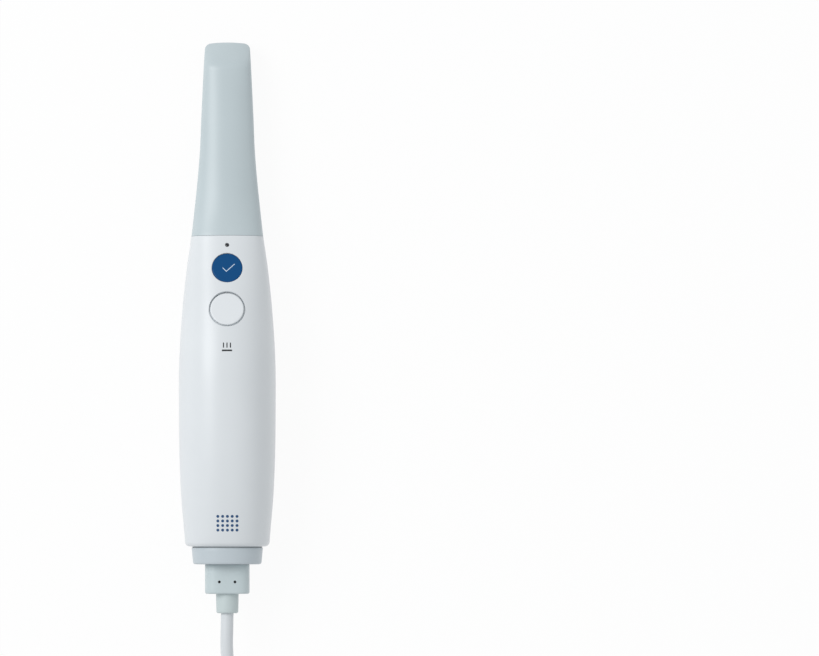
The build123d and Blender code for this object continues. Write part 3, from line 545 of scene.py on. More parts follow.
def grip_rows(borders, longest):
    """The closed run of rows of one grip shell: outside from the rear to the seam, and back inside."""
    stops = (REAR_ROUND,) + borders + (front - 0.8,)
    outside = []
    for start, end in zip(stops, stops[1:]):
        outside += steps(start, end, longest)[:-1]
    outside.append(stops[-1])
    rows = [form_row(0, REAR_ROUND, 0.62), form_row(0, REAR_ROUND, 0.8)]
    rows += [form_row(down, across) for down, across in reversed(quarter(REAR_ROUND, 6))]
    rows += [form_row(distance) for distance in outside[1:]]
    rows += [form_row(front - down, across) for down, across in quarter(EDGE, 3)]
    rows += [form_row(front, WALL + LIP_DEPTH), form_row(front - LIP_LENGTH, WALL + LIP_DEPTH),
             form_row(front - LIP_LENGTH - 0.1, WALL)]
    inside_start = len(rows)
    rows += [form_row(distance, WALL) for distance in reversed(outside)]
    rows += [form_row(WALL + 0.2, WALL, 0.8), form_row(WALL + 0.2, WALL, 0.62)]
    rows.append(rows[0])
    return rows, inside_start


def row_near(rows, distance, span):
    """Number of the row of this span that lies nearest to this distance."""
    return min(span, key=lambda row: abs(rows[row]["y"] - along(distance)))


def grip_shell(name, first, borders, longest, bores):
    """One grip half, whose angles start at this one and go half way round."""
    rows, inside_start = grip_rows(borders, longest)
    angles = turn(GRIP_SIDES, first, first + 180)
    gap = PARTING_GAP / PARTING_REACH
    for end, lean in ((0, gap), (-1, -gap)):
        angles[end]["angle"] += lean
        angles[end]["shrink"] = PARTING_EDGE[0]
    angles.insert(1, {"angle": angles[0]["angle"] + gap, "shrink": PARTING_EDGE[1]})
    angles.insert(-1, {"angle": angles[-1]["angle"] - gap, "shrink": PARTING_EDGE[1]})
    bm, grid = skin(rows, angles, white_plastic)
    outside, inside = range(RIM_ROWS, inside_start - 4), range(inside_start, len(rows) - 3)
    for (start, end), spread, *sizes in bores:
        columns = (column_near(angles, 90 - spread), column_near(angles, 90 + spread))
        outer_rows = (row_near(rows, start, outside), row_near(rows, end, outside))
        inner_rows = (row_near(rows, end, inside), row_near(rows, start, inside))
        round_bore(bm, *cleared_through(bm, grid, columns, outer_rows, inner_rows), *sizes)
    # The belly's flat: outside on the floor, inside a wall above it
    for column in grid:
        for number, vertex in enumerate(column):
            if vertex.is_valid:
                vertex.co.z = max(vertex.co.z, WALL * MM if number >= inside_start else 0.0)
    # The two parting faces, each bounded by one closed run of rows
    for column in (grid[0], grid[-1]):
        bm.faces.new(column[:-1])
    return piece(name + "_shell", bm, white_plastic, "scanner", (name,))


upper_shell = grip_shell("upper_housing", 0.0, KEY_BORDERS, 0.8, BORES)
grip_shell("lower_housing", 180.0, (60.0, 120.0), 2.4, ())

# Tip sleeve: one moulding that pulls off to be sterilised. Its back slopes at the head, where the mirror
# is bonded inside, and the light leaves by a window in the underside.
SLEEVE_WALL = 2.0
HEAD_CORNER, HEAD_SLOPE_RUN = 2.5, 9.7
CROWN_RADIUS, CROWN_RUN = 70.0, 12.0
BACK_CROWN_RADIUS, BACK_CROWN_FADE = 42.0, 20.0
INSIDE_BLEND, OUTSIDE_BLEND = 0.4, 2.4
WINDOW_HALF_WIDTH, WINDOW_HALF_LENGTH, WINDOW_CORNER, WINDOW_RIM = 7.3, 7.2, 2.0, 0.3
WINDOW_MIDDLE = FORM_END - 3.6 - WINDOW_HALF_LENGTH
WINDOW_SPREAD = 41
slope_sum = FORM_END - HEAD_SLOPE_RUN + form_at(FORM_END)[1] + 0.2
tip_start = HOUSING_LENGTH + SEAM_GAP / 2


def soft_low(first, second, blend):
    """The lower of two numbers, with a rounded change from one to the other."""
    overlap = max(blend - abs(first - second), 0.0) / blend
    return min(first, second) - overlap**2 * blend / 4


def head_shaped(vertex, inside):
    """Presses a vertex of the sleeve under the head's slope. Outside, the shoulders and a crown stay."""
    x, y, z = vertex.co / MM
    distance = y - REAR_FACE
    if inside:
        z = soft_low(z, slope_sum - SLEEVE_WALL * math.sqrt(2) - distance, INSIDE_BLEND)
    else:
        _, top, bottom, _, _ = form_at(distance)
        slope_top = soft_low(top, slope_sum - distance, OUTSIDE_BLEND)
        base = (slope_top + bottom) / 2
        if z > base:
            share = (z - base) / (top - base)
            fade = min(max((distance - HOUSING_LENGTH) / BACK_CROWN_FADE, 0.0), 1.0)
            z = base + share * (slope_top - base - fade * x * x / (2 * BACK_CROWN_RADIUS))
    crown = CROWN_RADIUS - math.sqrt(CROWN_RADIUS**2 - x**2)
    weight = min(max((distance - (FORM_END - CROWN_RUN)) / CROWN_RUN, 0.0), 1.0)
    vertex.co = Vector((x, y - crown * weight**2, z)) * MM


def end_cap(bm, ring):
    """Closes the ring at the head's end with smaller rings and a middle point."""
    middle = sum((vertex.co for vertex in ring), Vector()) / len(ring)
    for share in (0.7, 0.4):
        fresh = [bm.verts.new(middle + (vertex.co - middle) * share) for vertex in ring]
        bridge(bm, ring, fresh)
        ring = fresh
    fan(bm, ring, bm.verts.new(middle))


def window_place(x, y, grow):
    """Place on the window's rounded outline, grown by this much, in line with a place outside it."""
    half_x, half_y = WINDOW_HALF_WIDTH + grow, WINDOW_HALF_LENGTH + grow
    corner = WINDOW_CORNER + grow
    across, forward = x / half_x, (y - along(WINDOW_MIDDLE)) / half_y
    most = max(abs(across), abs(forward))
    across, forward = abs(across) / most * half_x, abs(forward) / most * half_y
    past_x, past_y = across - (half_x - corner), forward - (half_y - corner)
    if past_x > 0 and past_y > 0:
        reach = math.hypot(past_x, past_y)
        across = half_x - corner + past_x / reach * corner
        forward = half_y - corner + past_y / reach * corner
    return math.copysign(across, x), along(WINDOW_MIDDLE) + math.copysign(forward, y - along(WINDOW_MIDDLE))


def window_ring(loop, grow, inset, lift=0.0, share=1.0):
    """Places between a loop and the window's outline, on the lower skin drawn in by the inset."""
    places = []
    for vertex in loop:
        x, y = vertex.co.x / MM, vertex.co.y / MM
        to_x, to_y = window_place(x, y, grow)
        place_x, place_y = x + (to_x - x) * share, y + (to_y - y) * share
        places.append((place_x, place_y, skin_height(place_x, place_y, inset, -1) + lift))
    return places


def tip_sleeve_skin():
    """The sleeve's outer and inner skin as one closed shell, with the window cut through it."""
    inner_end, inner_corner = FORM_END - SLEEVE_WALL, HEAD_CORNER - SLEEVE_WALL
    window_rear = WINDOW_MIDDLE - WINDOW_HALF_LENGTH - 1.2
    stretch = steps(FORM_END - HEAD_CORNER, window_rear, 0.7)[:-1]
    stretch += steps(window_rear, tip_start + EDGE, 1.8)
    rows = [form_row(FORM_END - down, across) for down, across in reversed(quarter(HEAD_CORNER, 6))][:-1]
    front_row = len(rows)
    rows += [form_row(distance) for distance in stretch[:-1]]
    rows += [form_row(tip_start + down, across) for down, across in quarter(EDGE, 3)]
    inner_start = len(rows)
    rows += [form_row(tip_start, SLEEVE_WALL - EDGE), form_row(tip_start + EDGE, SLEEVE_WALL)]
    rows += [form_row(distance, SLEEVE_WALL) for distance in reversed(stretch[:-1])]
    back_row = len(rows) - 1
    rows += [form_row(inner_end - down, SLEEVE_WALL + across) for down, across in quarter(inner_corner)][1:]
    angles = turn(144)
    bm, grid = skin(rows, angles, tip_plastic)
    for column in grid:
        for number, vertex in enumerate(column):
            head_shaped(vertex, number >= inner_start)
    length = min(range(len(stretch)), key=lambda i: abs(stretch[i] - window_rear))
    columns = (column_near(angles, 270 - WINDOW_SPREAD), column_near(angles, 270 + WINDOW_SPREAD))
    outer, inner = cleared_through(bm, grid, columns, (front_row, front_row + length),
                                   (back_row - length, back_row))
    places = [window_ring(outer, WINDOW_RIM, 0.0, share=share) for share in (0.33, 0.66, 1.0)]
    places += [window_ring(outer, across, 0.0, down) for across, down in quarter(WINDOW_RIM)[1:]]
    places += [window_ring(inner, across, SLEEVE_WALL, -down)
               for across, down in reversed(quarter(WINDOW_RIM))]
    places += [window_ring(inner, WINDOW_RIM, SLEEVE_WALL, share=share) for share in (0.66, 0.33)]
    bridge(bm, rings(bm, outer, places), inner)
    for row in (0, -1):
        end_cap(bm, [column[row] for column in grid[:-1]])
    return bm


piece("tip_sleeve_shell", tip_sleeve_skin(), tip_plastic, "tip", ("tip_sleeve",), 50)

# Nose tube: a black anodised barrel on the grip's front bulkhead, which carries the clear front glass and
# a rubber ring that grips the sleeve. The tip slides over it.
black_metal = satin("black_metal", (0.028, 0.029, 0.032), 0.42, grain_size=0.18 * MM, metal=0.55)
seal_rubber = satin("seal_rubber", (0.022, 0.022, 0.024), 0.62, grain=0.6, grain_size=0.3 * MM)
NOSE_INSET, NOSE_WALL, NOSE_EDGE = 2.5, 1.4, 0.4
FLANGE_INSET, GROOVE_INSET, GLASS_INSET = 2.1, 2.95, 3.3
nose_end = HOUSING_LENGTH + 58.0
bulkhead_front = HOUSING_LENGTH - 1.4
bulkhead_rear = bulkhead_front - 1.8
SEAL_START, SEAL_END = HOUSING_LENGTH + 9.0, HOUSING_LENGTH + 11.4
glass_seat = nose_end - 1.5
barrel = [(bulkhead_rear, FLANGE_INSET), (bulkhead_front - 0.2, FLANGE_INSET),
          (bulkhead_front, FLANGE_INSET + 0.2), (bulkhead_front, NOSE_INSET)]
barrel += [(distance, NOSE_INSET) for distance in steps(bulkhead_front, SEAL_START - 0.1, 3)[1:]]
barrel += [(SEAL_START - 0.1, GROOVE_INSET), (SEAL_END + 0.1, GROOVE_INSET)]
barrel += [(distance, NOSE_INSET) for distance in steps(SEAL_END + 0.1, nose_end - NOSE_EDGE, 3)]
barrel += [(nose_end - down, NOSE_INSET + across) for down, across in quarter(NOSE_EDGE)]
barrel += [(nose_end, GLASS_INSET - 0.1), (nose_end - 0.1, GLASS_INSET), (glass_seat, GLASS_INSET),
           (glass_seat, NOSE_INSET + NOSE_WALL)]
barrel += [(distance, NOSE_INSET + NOSE_WALL) for distance in steps(glass_seat, bulkhead_rear, 4)[1:]]
barrel.append(barrel[0])
piece("nose_barrel", skin([form_row(*place) for place in barrel], turn(96), black_metal)[0], black_metal,
      "scanner", ("nose_tube",))
seal_profile = [(SEAL_START, 2.9), (SEAL_START, 2.5), (SEAL_START + 0.5, 2.3), (SEAL_START + 1.2, 2.22),
                (SEAL_END - 0.5, 2.3), (SEAL_END, 2.5), (SEAL_END, 2.9), (SEAL_START, 2.9)]
piece("nose_seal_ring", skin([form_row(*place) for place in seal_profile], turn(96), seal_rubber)[0],
      seal_rubber, "scanner", ("nose_seal",), 60)

# Keys: flat caps with a rounded rim, the scan key in white and the confirm key in polished blue. The
# status light is the end of a dark clear rod.
white_key = satin("white_key", (0.785, 0.815, 0.84), 0.33, grain=0.3)
blue_key = satin("blue_key", (0.0005, 0.068, 0.215), 0.3, grain=0.12, more={"Specular IOR Level": 0.2})
dark_clear = satin("dark_clear", (0.006, 0.007, 0.010), 0.12, grain=0.05, coat=0.6)
KEY_SINK, KEY_THICKNESS, KEY_CROWN, KEY_RIM = 0.3, 3.6, 0.06, 0.5
GROOVE_DEPTH, GROOVE_STEP = 1.9, 0.58


def turned(profile, run, sides=96):
    """A round piece square to the deck, from its radii and heights over the deck, closed at both ends."""
    bm = bmesh.new()
    loops = []
    for radius, height in profile[1:-1]:
        angles = [2 * math.pi * k / sides for k in range(sides)]
        loops.append([bm.verts.new(on_deck(radius * math.cos(angle), run + radius * math.sin(angle),
                                           height) * MM) for angle in angles])
    for first, second in zip(loops, loops[1:]):
        bridge(bm, first, second)
    for loop, (_, height) in ((loops[0], profile[0]), (loops[-1], profile[-1])):
        fan(bm, loop, bm.verts.new(on_deck(0, run, height) * MM))
    return bm


def key_profile(radius, step=0.0):
    """Half section of a key cap: a face that is crowned by a hair, a rounded rim, and a side with a step."""
    face = [(radius - KEY_RIM) * share for share in (0, 0.25, 0.5, 0.75, 0.92)]
    profile = [(reach, -KEY_SINK + KEY_CROWN * (1 - (reach / radius) ** 2)) for reach in face]
    profile += [(radius - across, -KEY_SINK - down) for down, across in reversed(quarter(KEY_RIM, 6))]
    if step:
        profile += [(radius, -KEY_SINK - GROOVE_DEPTH), (radius + step, -KEY_SINK - GROOVE_DEPTH)]
    return profile + [(radius + step, -KEY_SINK - KEY_THICKNESS), (0, -KEY_SINK - KEY_THICKNESS)]


piece("scan_key_cap", turned(key_profile(SCAN_RADIUS, GROOVE_STEP), 0), white_key, "scan_key",
      ("scan_button",))
piece("confirm_key_cap", turned(key_profile(CONFIRM_RADIUS), CONFIRM_RUN), blue_key, "confirm_key",
      ("confirm_button",))
light_profile = [(0, 0.02), (0.5, -0.02), (0.78, -0.12), (0.88, -0.3), (0.88, -3.2), (1.5, -3.3),
                 (1.5, -4.0), (0.88, -4.0), (0.88, -9.0), (0, -9.0)]
piece("status_light", turned(light_profile, LIGHT_RUN, 32), dark_clear, "scanner",
      ("status_light_pipe",))

# Check mark: a thin pale stroke with round ends, printed on the confirm key. It is a film of ink that
# moves with the key.
pale_ink = satin("pale_ink", (0.62, 0.74, 0.86), 0.4, grain=0.1)
MARK_PLACES = ((-1.98, -0.05), (-0.37, -1.70), (3.40, 1.80))
MARK_HALF_WIDTH = 0.16
MARK_HEIGHT, MARK_DEPTH = -KEY_SINK + KEY_CROWN + 0.02, 0.1


def stroke_outline(places, half_width):
    """Outline of a bent stroke with round ends."""
    start, bend, end = (Vector(place) for place in places)
    out, back = (bend - start).normalized(), (end - bend).normalized()
    side_out, side_back = Vector((-out.y, out.x)), Vector((-back.y, back.x))
    mitre = (side_out + side_back).normalized() * half_width / math.cos(side_out.angle(side_back) / 2)

    def cap(centre, first):
        angles = [math.atan2(first.y, first.x) - math.pi * k / 6 for k in range(7)]
        return [centre + Vector((math.cos(angle), math.sin(angle))) * half_width for angle in angles]

    return cap(end, side_back) + [bend - mitre] + cap(start, -side_out) + [bend + mitre]


mark_outline = stroke_outline(MARK_PLACES, MARK_HALF_WIDTH)
mark = lofted([[on_deck(x, CONFIRM_RUN + y, height) for x, y in mark_outline]
               for height in (MARK_HEIGHT, MARK_HEIGHT - MARK_DEPTH)])
piece("confirm_mark", mark, pale_ink, "confirm_key")

# Printed marks on the grip: a block of plain navy dots near the rear, and a small dark bar under three
# ticks behind the scan key. Both are pad-printed and follow the curve of the shell.
navy_ink = satin("navy_ink", (0.018, 0.075, 0.19), 0.42, grain=0.2)
grey_ink = satin("grey_ink", (0.012, 0.014, 0.017), 0.5, grain=0.2)
PRINT_THICKNESS = 0.05
ABOVE_SHELL = 60 * MM


def printed_tree():
    """Geometry tree that sets a flat mark on the shell below each point, square to its surface."""
    tree = new_tree("printed_marks", Places="Object", Shell="Object", Mark="Object")
    spot = Value.of(tree, "GeometryNodeRaycast", {
        "Target Geometry": given_shape(tree, "Shell"), "Ray Direction": (0, 0, -1)}, "Hit Position")
    normal = Value(tree, spot.socket.node.outputs["Hit Normal"])
    upright = Value.of(tree, "FunctionNodeAlignRotationToVector", {"Vector": normal}, axis="Z")
    points = Value.of(tree, "GeometryNodeMeshToPoints", {"Mesh": given_shape(tree, "Places")})
    stored = Value.of(tree, "GeometryNodeStoreNamedAttribute", {
        "Geometry": points, "Name": "upright", "Value": upright}, data_type="QUATERNION")
    moved = Value.of(tree, "GeometryNodeSetPosition", {"Geometry": stored, "Position": spot})
    kept = Value.of(tree, "GeometryNodeInputNamedAttribute", {"Name": "upright"}, data_type="QUATERNION")
    return end_tree(tree, Value.of(tree, "GeometryNodeInstanceOnPoints", {
        "Points": moved, "Instance": given_shape(tree, "Mark"), "Rotation": kept}))


printed_marks = printed_tree()


def rounded(half_x, half_y, corner, count):
    """Places round a rectangle with rounded corners, of this many steps each."""
    places = []
    for side_x, side_y, first in ((1, 1, 0), (-1, 1, 90), (-1, -1, 180), (1, -1, 270)):
        for k in range(count + 1):
            angle = math.radians(first + 90 * k / count)
            places.append((side_x * (half_x - corner) + corner * math.cos(angle),
                           side_y * (half_y - corner) + corner * math.sin(angle)))
    return places


def held(bm):
    """An object that holds a bmesh for a tree or a modifier."""
    mesh = bpy.data.meshes.new("held")
    bm.to_mesh(mesh)
    bm.free()
    return placed("held", mesh)


def printed(name, sizes, places, ink):
    """Rounded marks of one size, printed on the upper shell at these places in millimetres."""
    outline = rounded(*sizes, 6)
    plate = lofted([[(x, y, z) for x, y in outline] for z in (PRINT_THICKNESS / 2, -PRINT_THICKNESS / 2)])
    made = grown(printed_marks, {
        "Places": points_at([(x * MM, y * MM, ABOVE_SHELL) for x, y in places]), "Shell": upper_shell,
        "Mark": held(plate), "Finish": ink}, ("Places", "Mark"))
    piece(name, made, ink, "scanner", smooth=False)


DOT_MIDDLE, DOT_SPACING, DOT_RADIUS = (0.2, -89.8), (2.2, 2.1), 0.68
dots = [(DOT_MIDDLE[0] + DOT_SPACING[0] * (column - 2), DOT_MIDDLE[1] + DOT_SPACING[1] * (row - 1.5))
        for column in range(5) for row in range(4)]
printed("rear_dots", (DOT_RADIUS, DOT_RADIUS, DOT_RADIUS - 0.001), dots, navy_ink)
TICK_LEVEL, TICK_SPACING, BAR_DROP = -8.0, 1.6, 2.4
printed("function_ticks", (0.26, 1.2, 0.2), [(TICK_SPACING * side, TICK_LEVEL) for side in (-1, 0, 1)],
        grey_ink)
printed("function_bar", (2.35, 0.38, 0.2), [(0, TICK_LEVEL - BAR_DROP)], grey_ink)

# Rear collar: a satin grey cap on the grip's rear opening, held by two sunk screws, with the socket behind
# its rounded opening. A thin rubber gasket seals it to the grip.
collar_plastic = satin("collar_plastic", (0.535, 0.595, 0.635), 0.38, grain=0.4)
grey_rubber = satin("grey_rubber", (0.33, 0.36, 0.38), 0.55, grain_size=0.3 * MM)
CABLE_LEVEL = 20.3
COLLAR_START, COLLAR_END = -0.6, -8.2
COLLAR_HALVES, COLLAR_SHARE, COLLAR_POWER = (16.4, 15.7), 0.92, 2.2
COLLAR_FRONT_EDGE, COLLAR_REAR_EDGE = 0.2, 1.0
COLLAR_SCREW_RISE = 10.9
SCREW_HEAD, SCREW_HEAD_HEIGHT, SHANK_DIAMETER = 3.8, 1.2, 2.0
screw_seat = COLLAR_END + SCREW_HEAD_HEIGHT + 0.4


def collar_row(distance, inset):
    """One oval of the collar, which narrows a little to the rear."""
    share = (distance - COLLAR_START) / (COLLAR_END - COLLAR_START)
    half = COLLAR_HALVES[0] + (COLLAR_HALVES[1] - COLLAR_HALVES[0]) * share
    rise = half * COLLAR_SHARE
    return oval_row(distance, half, rise, rise, COLLAR_POWER, CABLE_LEVEL, inset)


def rounded_loop(width, height, corner, y, x=0.0, z=CABLE_LEVEL):
    """Places round an upright rounded rectangle across the scanner."""
    return [(x + across, y, z + up) for across, up in rounded(width / 2, height / 2, corner, 8)]


def round_loop(radius, y, z=CABLE_LEVEL, sides=32):
    """Places round an upright circle across the scanner."""
    angles = [2 * math.pi * k / sides for k in range(sides)]
    return [(radius * math.cos(angle), y, z + radius * math.sin(angle)) for angle in angles]


def opening(width, height, corner, start, end):
    """A cutter for a rounded opening that runs along the scanner."""
    return lofted([rounded_loop(width, height, corner, along(distance)) for distance in (start, end)])


def carved(bm, cutters, rim):
    """The mesh of a bmesh with the cutters taken out of it and its sharp rims rounded."""
    bmesh.ops.remove_doubles(bm, verts=bm.verts, dist=0.0005 * MM)
    bmesh.ops.recalc_face_normals(bm, faces=bm.faces)
    blank = held(bm)
    knives = [held(cutter) for cutter in cutters]
    for knife in knives:
        cut = blank.modifiers.new("cut", "BOOLEAN")
        cut.operation = "DIFFERENCE"
        cut.solver = "EXACT"
        cut.object = knife
    if rim:
        bevel = blank.modifiers.new("rim", "BEVEL")
        bevel.width = rim * MM
        bevel.segments = 2
        bevel.limit_method = "ANGLE"
        bevel.angle_limit = math.radians(50)
    mesh = plain_mesh(blank)
    for knife in knives:
        bpy.data.objects.remove(knife)
    return mesh


collar_run = rounded_run(COLLAR_START, (COLLAR_FRONT_EDGE, 2), COLLAR_END, (COLLAR_REAR_EDGE, 6), 1.6)
collar_blank, collar_grid = skin([collar_row(*place) for place in collar_run], turn(128), collar_plastic)
flat_ends(collar_blank, collar_grid)
collar_cuts = [opening(16.6, 11.1, 2.5, COLLAR_END - 1, 1), opening(19.8, 13.6, 1.5, COLLAR_END + 2, 1)]
collar_cuts += [lofted([round_loop(SCREW_HEAD / 2 + 0.2, along(distance), CABLE_LEVEL + rise)
                        for distance in (COLLAR_END - 1, screw_seat)])
                for rise in (-COLLAR_SCREW_RISE, COLLAR_SCREW_RISE)]
piece("rear_collar", carved(collar_blank, collar_cuts, 0.15), collar_plastic, "scanner",
      ("rear_cap",))
gasket_profile = [(-0.02, 0.7), (-0.02, 0.45), (-0.3, 0.35), (-0.58, 0.45), (-0.58, 0.7), (-0.58, 4.0),
                  (-0.02, 4.0), (-0.02, 0.7)]
piece("collar_gasket", skin([collar_row(*place) for place in gasket_profile], turn(96), grey_rubber)[0],
      grey_rubber, "scanner", ("rear_gasket",), 60)

# Small screws: plated steel, each with a coned head and a cross recess. They hold the collar, the main
# board, the chassis and the nose.
steel = satin("steel", (0.55, 0.56, 0.57), 0.3, grain=0.3, grain_size=0.12 * MM, metal=1.0)
HEAD_TAPER, ARM_SHARE, SLOT_SHARE = 0.82, 0.56, 0.24


def screw_tree():
    """Geometry tree that sets one cross-head screw at each point."""
    tree = new_tree("cross_head_screws", Head_diameter="Float", Head_height="Float", Shank_diameter="Float",
                    Shank_length="Float", Places="Object", Turn="Vector")
    head_width, head_height, shank_width, shank_length = [
        given(tree, title) for title in ("Head diameter", "Head height", "Shank diameter", "Shank length")]

    def vector(x, y, z):
        return Value.of(tree, "ShaderNodeCombineXYZ", {"X": x, "Y": y, "Z": z})

    def moved(shape, z):
        return Value.of(tree, "GeometryNodeTransform", {
            "Geometry": shape, "Translation": vector(0.0, 0.0, z)})

    head = Value.of(tree, "GeometryNodeMeshCone", {
        "Vertices": 32, "Radius Top": head_width / 2 * HEAD_TAPER, "Radius Bottom": head_width / 2,
        "Depth": head_height}, fill_type="NGON")
    arm = head_width * ARM_SHARE
    sizes = (vector(arm, arm * SLOT_SHARE, head_height), vector(arm * SLOT_SHARE, arm, head_height))
    slots = [moved(Value.of(tree, "GeometryNodeMeshCube", {"Size": size}), head_height) for size in sizes]
    recess = Value.of(tree, "GeometryNodeMeshBoolean", {"Mesh 1": head, "Mesh 2": slots}, "Mesh",
                      operation="DIFFERENCE")
    shank = Value.of(tree, "GeometryNodeMeshCylinder", {
        "Vertices": 20, "Radius": shank_width / 2, "Depth": shank_length}, fill_type="NGON")
    parts = [recess, moved(shank, shank_length * -0.5)]
    screw = Value.of(tree, "GeometryNodeJoinGeometry", {"Geometry": parts})
    points = Value.of(tree, "GeometryNodeMeshToPoints", {"Mesh": given_shape(tree, "Places")})
    turned_to = Value.of(tree, "FunctionNodeEulerToRotation", {"Euler": given(tree, "Turn")})
    return end_tree(tree, Value.of(tree, "GeometryNodeInstanceOnPoints", {
        "Points": points, "Instance": screw, "Rotation": turned_to}))


cross_head_screws = screw_tree()
for node in ("board_screws", "chassis_screws", "nose_screws", "cap_screws"):
    low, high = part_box(node)
    if node == "cap_screws":
        length, facing = (high.y - low.y) / MM, (math.radians(90), 0, 0)
        seats = [(0, along(screw_seat) * MM, (CABLE_LEVEL + rise) * MM)
                 for rise in (-COLLAR_SCREW_RISE, COLLAR_SCREW_RISE)]
    else:
        length, facing = (high.z - low.z) / MM, (0, 0, 0)
        reach = SCREW_HEAD / 2 * MM / math.cos(math.pi / 12)
        lines = (low.y + reach, high.y - reach) if high.y - low.y > 3 * reach else (low.y + reach,)
        seats = [(side * (high.x - reach), y, high.z - SCREW_HEAD_HEIGHT * MM)
                 for side in (-1, 1) for y in lines]
    screws = grown(cross_head_screws, {
        "Places": points_at(seats), "Head diameter": SCREW_HEAD * MM, "Head height": SCREW_HEAD_HEIGHT * MM,
        "Shank diameter": SHANK_DIAMETER * MM, "Shank length": (length - SCREW_HEAD_HEIGHT) * MM,
        "Turn": facing, "Finish": steel}, ("Places",))
    piece(node + "_set", screws, steel, "scanner", (node,), 30)

# Plug: a squarish moulding with rounded corners, fixed to its insert by two sunk grub screws, and a short
# round strain relief moulded round the cable.
plug_plastic = satin("plug_plastic", (0.565, 0.645, 0.665), 0.38, grain=0.4)
relief_rubber = satin("relief_rubber", (0.57, 0.645, 0.65), 0.42)
PLUG_START, PLUG_END, RELIEF_END = COLLAR_END - 0.08, COLLAR_END - 13.6, COLLAR_END - 13.6 - 8.9
PLUG_HALF, PLUG_RISE, PLUG_POWER = 10.25, 7.5, 3.4
PLUG_FRONT_EDGE, PLUG_REAR_EDGE = 0.3, 0.9
GRUB_PLACE, GRUB_SPREAD, GRUB_RADIUS = COLLAR_END - 8.1, 3.6, 0.65


plug_run = rounded_run(PLUG_END, (PLUG_REAR_EDGE, 5), PLUG_START, (PLUG_FRONT_EDGE, 2), 2.0)
plug_rows = [oval_row(distance, PLUG_HALF, PLUG_RISE, PLUG_RISE, PLUG_POWER, CABLE_LEVEL, inset)
             for distance, inset in plug_run]
plug_blank, plug_grid = skin(plug_rows, turn(96), plug_plastic)
flat_ends(plug_blank, plug_grid)
circle = [(GRUB_RADIUS * math.cos(math.pi * k / 12), GRUB_RADIUS * math.sin(math.pi * k / 12))
          for k in range(24)]
plug_cuts = [lofted([[(side * GRUB_SPREAD + x, along(GRUB_PLACE) + y, CABLE_LEVEL + rise) for x, y in circle]
                     for rise in (4.8, 8.5)]) for side in (-1, 1)]
plug_cuts.append(opening(16.2, 10.7, 2.2, PLUG_START - 4.0, 0))
piece("plug_body", carved(plug_blank, plug_cuts, 0.08), plug_plastic, "cable",
      ("plug_housing",))
relief_profile = [(PLUG_END + 0.02, 5.2), (PLUG_END - 3, 5.17), (RELIEF_END + 1.0, 5.07)]
relief_profile += [(RELIEF_END + down, 5.05 - across) for down, across in quarter(0.9, 6)]
relief_profile += [(RELIEF_END, 3.3), (RELIEF_END + 0.15, 3.05), (RELIEF_END + 3.9, 3.05)]
piece("plug_relief", lofted([round_loop(radius, along(distance), sides=64)
                             for distance, radius in relief_profile]),
      relief_rubber, "cable", ("strain_relief",))

# Cable: a smooth round jacket. It drops from the plug to the table and runs into a hank of six turns, and
# its tail climbs onto the hank and ends in a plug for a computer.
cord_jacket = satin("cord_jacket", (0.70, 0.73, 0.755), 0.4, grain=0.35, grain_size=0.5 * MM)
CORD_DIAMETER, CORD_LENGTH = 5.8, 2.0
HANK_SIDE, HANK_FRONT, HANK_REAR = -6.0, -223.3, -313.3
HANK_RADII, HANK_LEVELS = (23.4, 17.5), (3.7, 9.5, 15.3)
LEAD = [(0, -127.4, 20.3), (0, -133.5, 20.3), (-0.5, -151, 20.0), (3, -170, 14.0), (7.5, -189, 5.4),
        (12.6, -204, 3.2)]
TAIL = [(-23.5, -299, 15.3), (-23.6, -290, 15.3), (-23.4, -278, 16.3), (-22.4, -266, 20.0),
        (-22, -256.5, 22.2), (-22, -248, 22.2)]
# Column and layer of each turn in the hank. In front, each goes over to the next one's place, and bulges
# a little there because it isn't held.
TURNS = ((0, 0), (1, 0), (1, 1), (0, 1), (0, 2), (1, 2))
ARC_STEPS = 6
BULGE_OUT, BULGE_UP = 3.0, 1.4
arc_stretch = 1 / math.cos(math.pi / ARC_STEPS / 2)**2


def hank_places():
    """Control points of the six turns: down the right, round the rear, up the left, and over in front."""
    places = []
    for number, (column, layer) in enumerate(TURNS):
        radius, level = HANK_RADII[column], HANK_LEVELS[layer]
        places.append((HANK_SIDE + radius, HANK_FRONT - 2.0, level))
        for k in range(ARC_STEPS + 1):
            angle = -math.pi * k / ARC_STEPS
            reach = radius if k in (0, ARC_STEPS) else radius * arc_stretch
            places.append((HANK_SIDE + reach * math.cos(angle), HANK_REAR + reach * math.sin(angle), level))
        if number == len(TURNS) - 1:
            break
        next_radius, next_level = HANK_RADII[TURNS[number + 1][0]], HANK_LEVELS[TURNS[number + 1][1]]
        for k in range(ARC_STEPS):
            share = k / ARC_STEPS
            ease = share**2 * (3 - 2 * share)
            loose = math.sin(math.pi * share)**2
            across = radius + (next_radius - radius) * ease
            out = BULGE_OUT * loose * (across - HANK_RADII[1]) / (HANK_RADII[0] - HANK_RADII[1])
            height = level + (next_level - level) * ease
            height += BULGE_UP * loose * (height - HANK_LEVELS[0]) / (HANK_LEVELS[2] - HANK_LEVELS[0])
            reach = (across + out) * (arc_stretch if k else 1.0)
            angle = math.pi - math.pi * share
            places.append((HANK_SIDE + reach * math.cos(angle), HANK_FRONT + reach * math.sin(angle), height))
    return places


